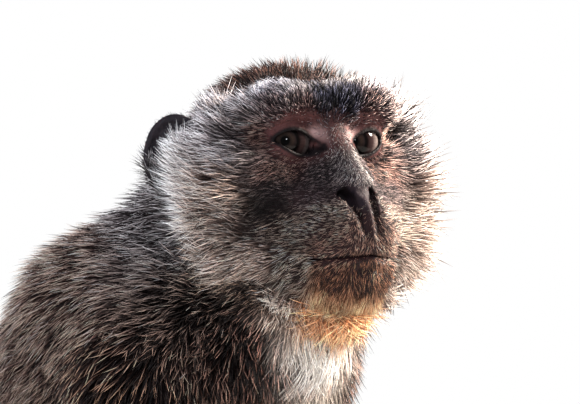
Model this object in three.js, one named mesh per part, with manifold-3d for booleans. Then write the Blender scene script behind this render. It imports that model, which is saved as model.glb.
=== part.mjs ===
// A long-tailed macaque, adult male, life size. It sits with its feet flat, its hands on the ground
// between its knees, and its head turned to its right. The solids reach to the tips of the coat.
// Millimetres, +Z up. The animal faces -Y, and its left side is +X.
//
// The body is a field: bones with flesh and coat round them, blended where they join. A point
// belongs to the part whose bone is nearest, so neighbouring parts meet in one shared surface.
import * as THREE from "three";
import Module from "manifold-3d";

const wasm = await Module();
wasm.setup();

// ---- driving dimensions -------------------------------------------------------------------
const EYE_HEIGHT = 395; // eyes above the ground
const HEAD_TURN = THREE.MathUtils.degToRad(30); // to the animal's right
const NECK_FORWARD = 100; // neck joint ahead of the seat
const NECK_TO_EYES = 70;
const EYE_SPREAD = 18; // each eye from the middle of the face
const EYE_RADIUS = 10.2;
const TAIL_LENGTH = 520;
const GAP = 0.3; // between neighbouring parts
const DRAW_IN = 0.35; // each grown part's faces, so that neighbours keep a gap
const TRUNK_CELL = 26; // facet sizes
const LIMB_CELL = 17;
const FACE_CELL = 7.8;
const RUFF_CELL = 15;
const SIDES = { left: 1, right: -1 };

// ---- frames -------------------------------------------------------------------------------
const at = (x, forward, up) => new THREE.Vector3(x, -forward, up);

const headForward = at(-Math.sin(HEAD_TURN), Math.cos(HEAD_TURN), 0);
const headLeft = at(Math.cos(HEAD_TURN), Math.sin(HEAD_TURN), 0);
const betweenEyes = at(0, NECK_FORWARD, EYE_HEIGHT).addScaledVector(headForward, NECK_TO_EYES);

// A point of the head: to its left, ahead of the eyes' middle, and above it.
function onHead(x, forward, up) {
  return betweenEyes
    .clone()
    .addScaledVector(headLeft, x)
    .addScaledVector(headForward, forward)
    .add(new THREE.Vector3(0, 0, up));
}

function intoHead(p) {
  const d = p.clone().sub(betweenEyes);
  return { x: d.dot(headLeft), forward: d.dot(headForward), up: d.z };
}

// ---- fields: negative inside, positive outside, in millimetres -----------------------------
function bone(from, to, startRadius, endRadius) {
  const along = to.clone().sub(from);
  const lengthSq = along.lengthSq();
  const rel = new THREE.Vector3();
  return (p) => {
    rel.copy(p).sub(from);
    const t = THREE.MathUtils.clamp(rel.dot(along) / lengthSq, 0, 1);
    return rel.addScaledVector(along, -t).length() - THREE.MathUtils.lerp(startRadius, endRadius, t);
  };
}

// An ellipsoid whose half sizes lie to the side, forward and up in the given frame.
function ellipsoid(centre, half, left, forward) {
  const rel = new THREE.Vector3();
  return (p) => {
    rel.copy(p).sub(centre);
    const u = rel.dot(left) / half[0];
    const v = rel.dot(forward) / half[1];
    const w = rel.z / half[2];
    const scaled = Math.hypot(u, v, w);
    const slope = Math.hypot(u / half[0], v / half[1], w / half[2]);
    return slope < 1e-9 ? -Math.min(...half) : (scaled * (scaled - 1)) / slope;
  };
}

const headBall = (x, forward, up, half) => ellipsoid(onHead(x, forward, up), half, headLeft, headForward);
const bodyBall = (x, forward, up, half) => ellipsoid(at(x, forward, up), half, at(1, 0, 0), at(0, 1, 0));

function softMin(a, b, k) {
  const h = Math.max(k - Math.abs(a - b), 0) / k;
  return Math.min(a, b) - (h * h * k) / 4;
}

const blend = (k, ...fields) => (p) => fields.reduce((d, field) => softMin(d, field(p), k), 1e3);
const nearest = (...fields) => (p) => Math.min(...fields.map((field) => field(p)));
const carve = (k, field, tool) => (p) => -softMin(-field(p), tool(p), k);
const mirrored = (make) => Object.values(SIDES).map(make);

// ---- the skeleton -------------------------------------------------------------------------
const joint = {
  seat: at(0, -26, 70),
  loin: at(0, -30, 150),
  back: at(0, -8, 232),
  chest: at(0, 36, 288),
  breast: at(0, 82, 303),
  neckBase: at(0, 84, 334),
  skullBase: onHead(0, -58, -34),
  tailBase: at(0, -84, 52),
  hip: (s) => at(46 * s, -12, 84),
  knee: (s) => at(125 * s, 84, 152),
  ankle: (s) => at(108 * s, 20, 34),
  shoulder: (s) => at(56 * s, 80, 284),
  elbow: (s) => at(62 * s, 104, 160),
  wrist: (s) => at(40 * s, 132, 36),
};

// ---- the head, out to the tips of its coat -------------------------------------------------
const skull = blend(
  14,
  headBall(0, -45, -7, [44, 47, 42]),
  ...mirrored((s) => bone(onHead(0, 6, 12), onHead(27 * s, 3, 11), 14, 13)),
  ...mirrored((s) => bone(onHead(27 * s, 3, 11), onHead(38 * s, -20, 4), 13, 16)),
  headBall(0, -4, -12, [37, 15, 25]),
  ...mirrored((s) => bone(onHead(31 * s, -5, -12), onHead(36 * s, -16, -18), 12, 14)),
);
const muzzle = blend(
  10,
  headBall(0, 19, -41, [27, 25, 21]),
  bone(onHead(0, 5, 2), onHead(0, 26, -21), 9, 9.5),
  ...mirrored((s) => bone(onHead(15 * s, 2, -24), onHead(13 * s, 18, -40), 15, 17)),
);
const whiskers = blend(
  14,
  ...mirrored((s) => bone(onHead(42 * s, -26, 0), onHead(46 * s, -6, -26), 16, 16)),
  ...mirrored((s) => bone(onHead(46 * s, -6, -26), onHead(42 * s, 3, -42), 16, 15.5)),
  ...mirrored((s) => bone(onHead(42 * s, 3, -42), onHead(29 * s, 8, -67), 15.5, 14.5)),
  ...mirrored((s) => bone(onHead(29 * s, 8, -67), onHead(8 * s, 13, -90), 14.5, 13)),
);
const chin = blend(
  10,
  headBall(0, 12, -61, [23, 22, 17]),
  bone(onHead(0, 10, -74), onHead(0, 4, -92), 20, 16),
);
const orbits = nearest(...mirrored((s) => headBall(18 * s, 15, 0, [14.5, 12, 8.5])));
const head = blend(12, carve(7, blend(11, skull, muzzle), orbits), chin, whiskers);

// ---- the trunk and limbs -------------------------------------------------------------------
const trunk = {
  pelvis: blend(
    24,
    bone(joint.seat, joint.loin, 60, 58),
    ...mirrored((s) => bone(at(18 * s, -34, 42), joint.hip(s), 44, 46)),
    bone(at(0, -60, 66), joint.tailBase, 26, 17),
  ),
  belly: blend(24, bone(joint.loin, joint.back, 62, 66), bodyBall(0, 18, 160, [56, 58, 66])),
  chest: blend(
    24,
    bone(joint.back, joint.chest, 64, 64),
    bone(joint.chest, joint.breast, 64, 58),
    ...mirrored((s) => bone(at(24 * s, 42, 312), at(36 * s, 76, 302), 46, 46)),
    ...mirrored((s) => bone(at(44 * s, 86, 294), at(24 * s, 106, 292), 38, 34)),
  ),
  neck: blend(20, bone(joint.neckBase, joint.skullBase, 48, 42), bone(joint.breast, onHead(0, -24, -84), 46, 25)),
};

const limbFields = (s) => ({
  upper_arm: blend(16, bone(joint.shoulder(s), joint.elbow(s), 36, 25)),
  forearm: blend(16, bone(joint.elbow(s), joint.wrist(s), 24, 14)),
  thigh: blend(16, bone(joint.hip(s), joint.knee(s), 48, 29)),
  shank: blend(
    12,
    bone(joint.knee(s), joint.ankle(s), 27, 15),
    bone(at(118 * s, 52, 108), at(114 * s, 42, 84), 25, 20),
    bone(joint.ankle(s), at(110 * s, 50, 20), 15, 13),
  ),
});

const parts = { ...trunk };
for (const [side, s] of Object.entries(SIDES))
  for (const [name, field] of Object.entries(limbFields(s))) parts[`${name}_${side}`] = field;

const limb = (...names) => names.flatMap((name) => Object.keys(SIDES).map((side) => parts[`${name}_${side}`]));
const torso = blend(22, ...Object.values(trunk), head);
const arms = nearest(...mirrored((s) => blend(14, limbFields(s).upper_arm, limbFields(s).forearm)));
const withArms = blend(22, torso, arms);
const withLegs = blend(18, torso, nearest(...limb("thigh")));
const body = nearest(withArms, blend(5, withLegs, nearest(...limb("shank"))));

// ---- planes where the head, hands, feet and tail begin --------------------------------------
const plane = (point, normal) => ({ point, normal: normal.clone().normalize() });
const neckPlane = plane(onHead(0, -50, -65), headForward.clone().multiplyScalar(0.667).setZ(0.747));
const wristPlane = (s) => plane(joint.wrist(s), joint.wrist(s).sub(joint.elbow(s)));
const anklePlane = (s) => plane(joint.ankle(s), at(0, 0.55, -0.83));
const tailPlane = plane(joint.tailBase, at(0, -1, -0.35));

// How far a point is above the mouth's cut: above it is the head, below it the lower jaw.
const MOUTH_UP = -52.5;
const JAW_BACK = -24;
function aboveMouth(p) {
  const h = intoHead(p);
  return Math.max(h.up - MOUTH_UP, JAW_BACK - h.forward);
}

// ---- growing closed meshes from the fields --------------------------------------------------
// Which part a point inside the body belongs to, and how far it is from the border of two parts.
const bodyOwner = {
  label: (p) => Object.keys(parts).reduce((best, name) => (parts[name](p) < parts[best](p) ? name : best)),
  border: (a, b, p) => parts[a](p) - parts[b](p),
};
const headOwner = {
  label: (p) => (aboveMouth(p) > 0 ? "head" : "lower_jaw"),
  border: (a, b, p) => (a === "head" ? -aboveMouth(p) : aboveMouth(p)),
};

function gradient(field, p, step = 0.2) {
  const q = p.clone();
  return new THREE.Vector3(
    ...["x", "y", "z"].map((axis) => {
      q[axis] = p[axis] + step;
      const high = field(q);
      q[axis] = p[axis] - step;
      const low = field(q);
      q[axis] = p[axis];
      return (high - low) / (2 * step);
    }),
  );
}

// Moves p on to field = 0, at most `limit` at a time.
function settle(field, p, limit) {
  const g = gradient(field, p);
  const step = g.multiplyScalar(-field(p) / Math.max(g.lengthSq(), 0.05));
  p.add(step.clampLength(0, limit));
}

const CELL_RIM = 0.4; // vertices stay this far inside their grid cell
const CORNERS = [0, 1, 2, 3, 4, 5, 6, 7].map((c) => [c & 1, (c >> 1) & 1, (c >> 2) & 1]);
const CELL_EDGES = CORNERS.flatMap((_, a) => [1, 2, 4].filter((bit) => !(a & bit)).map((bit) => [a, a | bit]));

// A part keeps its largest island of corners. Each smaller one goes to the part around it.
function joinIslands(corners, neighbours) {
  const island = new Array(corners.length).fill(-1);
  const islands = [];
  corners.forEach((corner, first) => {
    if (!corner.label || island[first] >= 0) return;
    const members = [first];
    island[first] = islands.length;
    for (let m = 0; m < members.length; m++)
      for (const next of neighbours(members[m]))
        if (island[next] < 0 && corners[next].label === corner.label) {
          island[next] = islands.length;
          members.push(next);
        }
    islands.push({ label: corner.label, members });
  });
  const size = (label) => Math.max(...islands.filter((i) => i.label === label).map((i) => i.members.length));
  for (const { label, members } of islands) {
    if (members.length === size(label)) continue;
    const around = members.flatMap(neighbours).map((next) => corners[next].label);
    const other = around.find((l) => l && l !== label) ?? null;
    for (const m of members) corners[m].label = other;
  }
}

// Where a part holds only two opposite corners of a grid square, one of them goes to a neighbour,
// so that no two walls of a part touch along an edge.
function untangle(corners, strides) {
  let changed = true;
  const opposite = (a, b, c, d) => {
    const label = corners[a].label;
    if (!label || corners[b].label !== label || corners[c].label === label || corners[d].label === label) return;
    const weaker = Math.abs(corners[a].d) < Math.abs(corners[b].d) ? a : b;
    corners[weaker].label = corners[c].label ?? corners[d].label;
    changed = true;
  };
  for (let pass = 0; changed && pass < 20; pass++) {
    changed = false;
    for (let m = 0; m + strides[0] + strides[1] + strides[2] < corners.length; m++)
      for (const [u, v] of [
        [strides[0], strides[1]],
        [strides[1], strides[2]],
        [strides[2], strides[0]],
      ]) {
        opposite(m, m + u + v, m + u, m + v);
        opposite(m + u, m + v, m, m + u + v);
      }
  }
}

// One closed geometry for each wanted part: each cell that a border crosses gets one vertex, and
// each grid edge between two parts gets one quad.
function grow(field, owner, { lines, place, local }, wanted) {
  const n = lines.map((line) => line.length);
  const index = (i, j, k) => (k * n[1] + j) * n[0] + i;
  const corners = [];
  for (let k = 0; k < n[2]; k++)
    for (let j = 0; j < n[1]; j++)
      for (let i = 0; i < n[0]; i++) {
        const p = place(new THREE.Vector3(lines[0][i], lines[1][j], lines[2][k]));
        const d = field(p);
        const rim = [i, j, k].some((m, axis) => m === 0 || m === n[axis] - 1);
        corners.push({ p, d: rim ? Math.max(d, 1) : d, label: d < 0 && !rim ? owner.label(p) : null });
      }

  const steps = [1, n[0], n[0] * n[1]].flatMap((step) => [step, -step]);
  joinIslands(corners, (m) => steps.map((step) => m + step).filter((next) => corners[next]));
  untangle(corners, [1, n[0], n[0] * n[1]]);

  function crossing(a, b) {
    let [da, db] = [a.d, b.d];
    if (a.label && b.label) [da, db] = [owner.border(a.label, b.label, a.p), owner.border(a.label, b.label, b.p)];
    const t = da === db ? 0.5 : THREE.MathUtils.clamp(da / (da - db), 0.02, 0.98);
    return a.p.clone().lerp(b.p, t);
  }

  function vertexOf(i, j, k) {
    const here = CORNERS.map(([x, y, z]) => corners[index(i + x, j + y, k + z)]);
    const cuts = CELL_EDGES.filter(([a, b]) => here[a].label !== here[b].label);
    if (!cuts.length) return null;
    const p = new THREE.Vector3();
    for (const [a, b] of cuts) p.add(crossing(here[a], here[b]));
    p.divideScalar(cuts.length);
    const labels = [...new Set(here.map((c) => c.label).filter(Boolean))];
    const open = here.some((c) => !c.label);
    const cell = new THREE.Box3(
      new THREE.Vector3(lines[0][i], lines[1][j], lines[2][k]),
      new THREE.Vector3(lines[0][i + 1], lines[1][j + 1], lines[2][k + 1]),
    ).expandByScalar(-CELL_RIM);
    const limit = cell.min.distanceTo(cell.max) / 6;
    const between = (q) => owner.border(labels[0], labels[1], q);
    const sides = labels.length === 2 ? here.filter((c) => c.label).map((c) => between(c.p)) : [];
    const parted = sides.some((d) => d > 0) && sides.some((d) => d < 0);
    for (let round = 0; round < 8; round++) {
      if (open) settle(field, p, limit);
      if (parted) settle(between, p, limit);
      p.copy(place(cell.clampPoint(local(p), new THREE.Vector3())));
    }
    return p;
  }

  const vertices = new Map();
  for (let k = 0; k < n[2] - 1; k++)
    for (let j = 0; j < n[1] - 1; j++)
      for (let i = 0; i < n[0] - 1; i++) {
        const p = vertexOf(i, j, k);
        if (p) vertices.set(index(i, j, k), p);
      }

  const faces = Object.fromEntries(wanted.map((name) => [name, []]));
  const strides = [
    [1, 0, 0],
    [0, 1, 0],
    [0, 0, 1],
  ];
  for (let k = 0; k < n[2] - 1; k++)
    for (let j = 0; j < n[1] - 1; j++)
      for (let i = 0; i < n[0] - 1; i++)
        strides.forEach((d, axis) => {
          const a = corners[index(i, j, k)].label;
          const b = corners[index(i + d[0], j + d[1], k + d[2])].label;
          if (a === b) return;
          const [u, v] = [strides[(axis + 1) % 3], strides[(axis + 2) % 3]];
          const ring = [
            [0, 0],
            [-1, 0],
            [-1, -1],
            [0, -1],
          ].map(([s, t]) => index(i + s * u[0] + t * v[0], j + s * u[1] + t * v[1], k + s * u[2] + t * v[2]));
          const [p, q, r, w] = ring.map((id) => vertices.get(id));
          const halves =
            p.distanceToSquared(r) < q.distanceToSquared(w)
              ? [
                  [0, 1, 2],
                  [0, 2, 3],
                ]
              : [
                  [1, 2, 3],
                  [1, 3, 0],
                ];
          for (const half of halves) {
            const face = half.map((m) => ring[m]);
            if (faces[a]) faces[a].push(face);
            if (faces[b]) faces[b].push([face[0], face[2], face[1]]);
          }
        });
  const drawn = (depth) => wanted.map((name) => solid(geometryOf(faces[name], vertices, depth)));
  const [whole, drawnIn] = [drawn(0), drawn(DRAW_IN)];
  // A fold in the border leaves a sliver in two parts, and the later part gives it up.
  const clear = (made, m) =>
    [...whole.slice(0, m), ...drawnIn.slice(0, m)].reduce((left, other) => left.subtract(other), made);
  return Object.fromEntries(wanted.map((name, m) => [name, clear(drawnIn[m], m)]));
}

// A closed geometry whose faces are drawn in by the given depth.
function geometryOf(faces, vertices, depth) {
  const ids = [...new Set(faces.flat())];
  const slot = new Map(ids.map((id, m) => [id, m]));
  const geometry = new THREE.BufferGeometry().setFromPoints(ids.map((id) => vertices.get(id)));
  geometry.setIndex(faces.flat().map((id) => slot.get(id)));
  geometry.computeVertexNormals();
  const { position, normal } = geometry.attributes;
  for (let m = 0; m < ids.length; m++) {
    const inward = new THREE.Vector3().fromBufferAttribute(normal, m).multiplyScalar(-depth);
    position.setXYZ(m, position.getX(m) + inward.x, position.getY(m) + inward.y, position.getZ(m) + inward.z);
  }
  return geometry;
}

// ---- joins and cuts ------------------------------------------------------------------------
function solid(geometry, matrix = new THREE.Matrix4()) {
  const g = geometry.clone().applyMatrix4(matrix);
  const { array } = g.attributes.position;
  const index = g.index ? Array.from(g.index.array) : Array.from({ length: array.length / 3 }, (_, m) => m);
  const keys = new Map();
  const points = [];
  const same = index.map((m) => {
    const key = [0, 1, 2].map((c) => Math.round(array[3 * m + c] * 1e3)).join();
    if (!keys.has(key)) {
      keys.set(key, points.length / 3);
      points.push(array[3 * m], array[3 * m + 1], array[3 * m + 2]);
    }
    return keys.get(key);
  });
  const triangles = [];
  for (let m = 0; m < same.length; m += 3) {
    const [a, b, c] = same.slice(m, m + 3);
    if (a !== b && b !== c && a !== c) triangles.push(a, b, c);
  }
  const mesh = new wasm.Mesh({
    numProp: 3,
    vertProperties: new Float32Array(points),
    triVerts: new Uint32Array(triangles),
  });
  return new wasm.Manifold(mesh);
}

// The largest body of a cut solid, without the slivers that a cut leaves.
const SLIVER = 0.08;
const largest = (made) => made.decompose().reduce((a, b) => (a.volume() > b.volume() ? a : b)).simplify(SLIVER);

function backToGeometry(made) {
  const mesh = made.getMesh();
  const geometry = new THREE.BufferGeometry();
  geometry.setAttribute("position", new THREE.BufferAttribute(new Float32Array(mesh.vertProperties), 3));
  geometry.setIndex(new THREE.BufferAttribute(new Uint32Array(mesh.triVerts), 1));
  return geometry;
}

// Blocks that fill everything behind or ahead of a plane, and half the gap past it.
const BLOCK = 900;
function behind({ point, normal }) {
  const turn = new THREE.Quaternion().setFromUnitVectors(new THREE.Vector3(0, 0, 1), normal);
  const centre = point.clone().addScaledVector(normal, GAP / 2 - BLOCK / 2);
  const place = new THREE.Matrix4().compose(centre, turn, new THREE.Vector3(1, 1, 1));
  return solid(new THREE.BoxGeometry(BLOCK, BLOCK, BLOCK), place);
}
const ahead = ({ point, normal }) => behind(plane(point, normal.clone().negate()));
const ground = behind(plane(at(0, 0, -GAP / 2), at(0, 0, 1)));

// ---- tubes: digits and tail ----------------------------------------------------------------
// A closed tube along a smooth curve, with a radius at each of its points and flattened by `flat`.
function tube(points, radii, sides, rings, flat = 1) {
  const curve = new THREE.CatmullRomCurve3(points, false, "centripetal");
  const frames = curve.computeFrenetFrames(rings, false);
  const vertices = [];
  for (let m = 0; m <= rings; m++) {
    const t = m / rings;
    const centre = curve.getPoint(t);
    const tangent = curve.getTangent(t);
    const side = new THREE.Vector3(0, 0, 1).cross(tangent);
    if (side.lengthSq() < 1e-4) side.copy(frames.normals[m]);
    side.normalize();
    const up = tangent.clone().cross(side);
    const place = t * (radii.length - 1);
    const low = Math.min(Math.floor(place), radii.length - 2);
    const radius = THREE.MathUtils.lerp(radii[low], radii[low + 1], place - low);
    for (let c = 0; c < sides; c++) {
      const turn = (2 * Math.PI * c) / sides;
      vertices.push(
        centre
          .clone()
          .addScaledVector(side, radius * Math.cos(turn))
          .addScaledVector(up, radius * flat * Math.sin(turn)),
      );
    }
  }
  const startPole = curve.getPoint(0).addScaledVector(curve.getTangent(0), -radii[0] * 0.6);
  const endPole = curve.getPoint(1).addScaledVector(curve.getTangent(1), radii.at(-1) * 0.6);
  const faces = [];
  for (let m = 0; m < rings; m++)
    for (let c = 0; c < sides; c++) {
      const next = (c + 1) % sides;
      const [a, b, d, e] = [m * sides + c, m * sides + next, (m + 1) * sides + next, (m + 1) * sides + c];
      faces.push([a, b, d], [a, d, e]);
    }
  const start = vertices.push(startPole) - 1;
  const end = vertices.push(endPole) - 1;
  for (let c = 0; c < sides; c++) {
    const next = (c + 1) % sides;
    faces.push([start, next, c], [end, rings * sides + c, rings * sides + next]);
  }
  return new THREE.BufferGeometry().setFromPoints(vertices).setIndex(faces.flat());
}

// ---- hands and feet ------------------------------------------------------------------------
const joined = (geometries) => geometries.map((g) => solid(g)).reduce((a, b) => a.add(b));

// A digit lies along the ground from its root, arched over its middle joint.
function digit(root, heading, length, radius, rise) {
  const along = (share, up) => root.clone().addScaledVector(heading, length * share).setZ(up);
  const points = [root, along(0.4, rise), along(0.75, radius - 0.4), along(1, radius * 0.8 - 0.6)];
  return tube(points, [radius * 1.15, radius * 1.05, radius, radius * 0.8], 5, 3);
}

const heading = (degrees) => at(Math.sin(THREE.MathUtils.degToRad(degrees)), Math.cos(THREE.MathUtils.degToRad(degrees)), 0);

function hand(s) {
  const wrist = joint.wrist(s);
  const knuckles = at(39 * s, 172, 11.5);
  const palm = tube([wrist.clone().add(at(1 * s, -10, 14)), wrist, at(40 * s, 152, 11), knuckles], [13, 13.5, 17, 17.5], 8, 4, 0.72);
  const fingers = [-1.5, -0.5, 0.5, 1.5].map((m) => {
    const root = at(39 * s + 8.6 * m, 172 - 2.2 * m * m, 12);
    return digit(root, heading(7 * m), 43 - 3 * Math.abs(m), 5.2, 13);
  });
  const thumb = digit(at(27 * s, 146, 13), heading(-38 * s), 30, 5, 10);
  return joined([palm, ...fingers, thumb]);
}

function foot(s) {
  const ankle = joint.ankle(s);
  const toeRoots = at(118 * s, 96, 12.5);
  const sole = tube([at(106 * s, 2, 8.5), at(108 * s, 22, 10.5), at(113 * s, 60, 11), toeRoots], [12, 15, 15.5, 18], 8, 4, 0.78);
  const instep = tube([ankle.clone().add(at(1 * s, 4, 12)), ankle, at(110 * s, 38, 20)], [15.5, 15.5, 13], 8, 2);
  const toes = [-1.5, -0.5, 0.5, 1.5].map((m) => {
    const root = at(118 * s + 8.8 * m, 96 - 2 * m * m, 13);
    return digit(root, heading(9 * s + 6 * m), 43 - 3 * Math.abs(m), 5.6, 14);
  });
  const bigToe = digit(at(103 * s, 62, 14), heading(-26 * s), 42, 6.6, 12);
  return joined([sole, instep, ...toes, bigToe]);
}

// ---- tail ----------------------------------------------------------------------------------
// It drops from its base, and sweeps along the ground to the animal's left.
function tailCurve() {
  const bend = new THREE.CatmullRomCurve3(
    [
      joint.tailBase.clone().add(at(0, 10, 4)),
      joint.tailBase,
      at(2, -114, 26),
      at(14, -156, 12.5),
      at(54, -210, 11.5),
      at(122, -240, 10),
      at(194, -230, 8.5),
      at(246, -184, 7),
      at(268, -120, 5.5),
    ],
    false,
    "centripetal",
  );
  const share = Math.min(1, TAIL_LENGTH / bend.getLength());
  return { bend, share };
}

function tail() {
  const { bend, share } = tailCurve();
  const thickness = (t) => THREE.MathUtils.lerp(17, 7.2, Math.pow(t, 0.8));
  const lengths = { tail_root: [0, 0.34], tail_middle: [0.34, 0.68], tail_tip: [0.68, 1] };
  return Object.entries(lengths).map(([name, [from, to]]) => {
    const steps = 7;
    const shares = Array.from({ length: steps }, (_, m) => (from + ((to - from) * m) / (steps - 1)) * share);
    const whole = solid(tube(shares.map((t) => bend.getPointAt(t)), shares.map(thickness), 8, 6));
    const cut = (t) => plane(bend.getPointAt(t * share), bend.getTangentAt(t * share));
    const fromRoot = from > 0 ? whole.subtract(behind(cut(from))) : whole;
    return { name, made: to < 1 ? fromRoot.subtract(ahead(cut(to))) : fromRoot };
  });
}

// ---- ears and eyes -------------------------------------------------------------------------
// A shallow cup on the side of the head that opens forwards and outwards.
function ear(s) {
  const middle = onHead(49 * s, -49, -7);
  const outward = headLeft.clone().multiplyScalar(0.72 * s).addScaledVector(headForward, -0.69).normalize();
  const opening = headForward.clone().multiplyScalar(0.72).addScaledVector(headLeft, 0.69 * s).normalize();
  const up = new THREE.Vector3(0, 0, 1);
  const frame = (half, shift) =>
    new THREE.Matrix4()
      .makeBasis(outward.clone().multiplyScalar(s), up, opening)
      .scale(new THREE.Vector3(...half))
      .setPosition(middle.clone().addScaledVector(opening, shift));
  const ball = new THREE.SphereGeometry(1, 10, 6);
  const shell = solid(ball, frame([14.5, 19.5, 7], 0));
  const bowl = solid(ball, frame([12.3, 17.3, 6.2], 4.2));
  return shell.subtract(bowl);
}

const eyePlace = (s) => onHead(EYE_SPREAD * s, 0, 0);
const eyeBall = (s, extra) => {
  const geometry = new THREE.SphereGeometry(EYE_RADIUS + extra, 12, 8);
  return solid(geometry, new THREE.Matrix4().setPosition(eyePlace(s)));
};

// ---- assembly ------------------------------------------------------------------------------
const COAT = {
  back: { color: 0x5a463a, roughness: 0.9, metalness: 0 },
  grey: { color: 0x8d877f, roughness: 0.9, metalness: 0 },
  face: { color: 0x5f4a47, roughness: 0.75, metalness: 0 },
  bare: { color: 0x3a302e, roughness: 0.7, metalness: 0 },
  eye: { color: 0x3a2a1e, roughness: 0.1, metalness: 0 },
};
const materials = Object.fromEntries(Object.entries(COAT).map(([name, look]) => [name, new THREE.MeshStandardMaterial(look)]));

const macaque = new THREE.Group();
function add(name, made, material) {
  const mesh = new THREE.Mesh(backToGeometry(largest(made)), materials[material]);
  mesh.name = name;
  macaque.add(mesh);
}

// Grid lines from the first number on, with the given step in each stretch.
function spaced(from, ...stretches) {
  const line = [from];
  for (const [to, step] of stretches) {
    const first = line.at(-1);
    const count = Math.max(1, Math.round((to - first) / step));
    for (let m = 1; m <= count; m++) line.push(first + ((to - first) * m) / count);
  }
  return line;
}

const bodyGrid = {
  lines: [
    spaced(-190, [-30, LIMB_CELL], [30, TRUNK_CELL], [190, LIMB_CELL]),
    spaced(-205, [-85, LIMB_CELL], [130, TRUNK_CELL]),
    spaced(-24, [180, LIMB_CELL], [440, TRUNK_CELL]),
  ],
  place: (q) => q.clone(),
  local: (p) => p.clone(),
};
const headGrid = {
  lines: [
    spaced(-96, [-28, RUFF_CELL], [28, FACE_CELL], [96, RUFF_CELL]),
    spaced(-60, [-14, FACE_CELL], [14, FACE_CELL * 1.4], [130, RUFF_CELL]),
    spaced(-156, [-78, RUFF_CELL], [20, FACE_CELL], [56, RUFF_CELL]),
  ],
  place: (q) => onHead(q.x, -q.y, q.z),
  local: (p) => new THREE.Vector3(intoHead(p).x, -intoHead(p).forward, intoHead(p).up),
};

const bodyGrown = grow(body, bodyOwner, bodyGrid, Object.keys(parts));
for (const [name, grown] of Object.entries(bodyGrown)) {
  const [bone, side] = [name.replace(/_(left|right)$/, ""), SIDES[name.split("_").at(-1)]];
  let made = grown.subtract(ground).subtract(ahead(neckPlane));
  if (bone === "forearm") made = made.subtract(ahead(wristPlane(side)));
  if (bone === "shank") made = made.subtract(ahead(anklePlane(side)));
  if (bone === "pelvis") made = made.subtract(ahead(tailPlane));
  add(name, made, name === "neck" ? "grey" : "back");
}

const headGrown = grow(body, headOwner, headGrid, ["head", "lower_jaw"]);
const sockets = mirrored((s) => eyeBall(s, GAP)).reduce((a, b) => a.add(b));
add("head", headGrown.head.subtract(behind(neckPlane)).subtract(sockets), "grey");
add("lower_jaw", headGrown.lower_jaw.subtract(behind(neckPlane)), "face");

const clearOfHead = grow((p) => body(p) - 2 * GAP, headOwner, headGrid, ["head"]).head;
for (const [side, s] of Object.entries(SIDES)) {
  add(`ear_${side}`, ear(s).subtract(clearOfHead), "bare");
  add(`eye_${side}`, eyeBall(s, 0), "eye");
  add(`hand_${side}`, hand(s).subtract(ground).subtract(behind(wristPlane(s))), "bare");
  add(`foot_${side}`, foot(s).subtract(ground).subtract(behind(anklePlane(s))), "bare");
}
for (const { name, made } of tail()) add(name, made.subtract(ground).subtract(behind(tailPlane)), "back");

// The origin is the middle of the ground that the whole animal covers.
const extent = new THREE.Box3().setFromObject(macaque);
const middle = extent.getCenter(new THREE.Vector3());
macaque.position.set(-middle.x, -middle.y, 0);

const model = new THREE.Group();
model.add(macaque);
export default model;
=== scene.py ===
"""A long-tailed macaque, life size, in the looks of a museum model.

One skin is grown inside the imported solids, by the depth of their coat, and the coat is laid on it
tuft by tuft. Metres, +Z up. The animal faces -Y, and its left side is +X.
"""
import math
from collections import namedtuple

import bmesh
import bpy
import numpy as np
from mathutils import Matrix, Vector


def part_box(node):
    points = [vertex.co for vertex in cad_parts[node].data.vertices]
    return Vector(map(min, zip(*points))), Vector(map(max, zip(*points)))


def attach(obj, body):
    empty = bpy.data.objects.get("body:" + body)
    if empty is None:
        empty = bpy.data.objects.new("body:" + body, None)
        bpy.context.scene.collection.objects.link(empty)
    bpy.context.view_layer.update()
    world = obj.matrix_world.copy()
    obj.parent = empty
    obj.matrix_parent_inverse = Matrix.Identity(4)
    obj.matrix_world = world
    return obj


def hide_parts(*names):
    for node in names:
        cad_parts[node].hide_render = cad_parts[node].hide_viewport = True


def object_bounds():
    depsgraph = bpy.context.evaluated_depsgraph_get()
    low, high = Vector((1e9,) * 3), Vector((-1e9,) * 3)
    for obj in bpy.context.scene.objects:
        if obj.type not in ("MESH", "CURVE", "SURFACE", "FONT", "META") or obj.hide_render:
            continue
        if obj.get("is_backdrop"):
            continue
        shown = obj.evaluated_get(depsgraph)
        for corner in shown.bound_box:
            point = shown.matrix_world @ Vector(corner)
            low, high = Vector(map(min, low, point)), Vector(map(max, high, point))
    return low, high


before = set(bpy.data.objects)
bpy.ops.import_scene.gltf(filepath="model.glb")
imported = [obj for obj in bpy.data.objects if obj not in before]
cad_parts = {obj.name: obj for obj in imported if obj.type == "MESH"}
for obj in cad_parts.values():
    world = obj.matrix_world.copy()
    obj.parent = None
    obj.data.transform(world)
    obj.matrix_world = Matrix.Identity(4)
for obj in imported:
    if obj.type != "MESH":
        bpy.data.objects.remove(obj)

bl_info = {
    "name": "Long-tailed macaque",
    "version": (1, 0, 0),
    "blender": (4, 5, 0),
    "location": "3D Viewport > Sidebar > Macaque",
    "description": "Builds the skin, eyes, nails and coat of a life-size macaque round its packed solids",
    "category": "Object",
}

CAD_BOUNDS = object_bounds()
MM = 0.001
SIDES = {"left": 1, "right": -1}
BAKE_MAP = "OFBake"


# ---- frames ----
# Shapes are worked out in millimetres in the body's own frame, whose origin is on the ground
# under the seat: x to the animal's left, y backwards, z up. The head's frame starts at the
# middle of the eyes: x to its left, forward, up.

def at(x, forward, up):
    return np.array([x, -forward, up], float)


def middle(node):
    low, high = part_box(node)
    return np.array((low + high) / 2)


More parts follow.
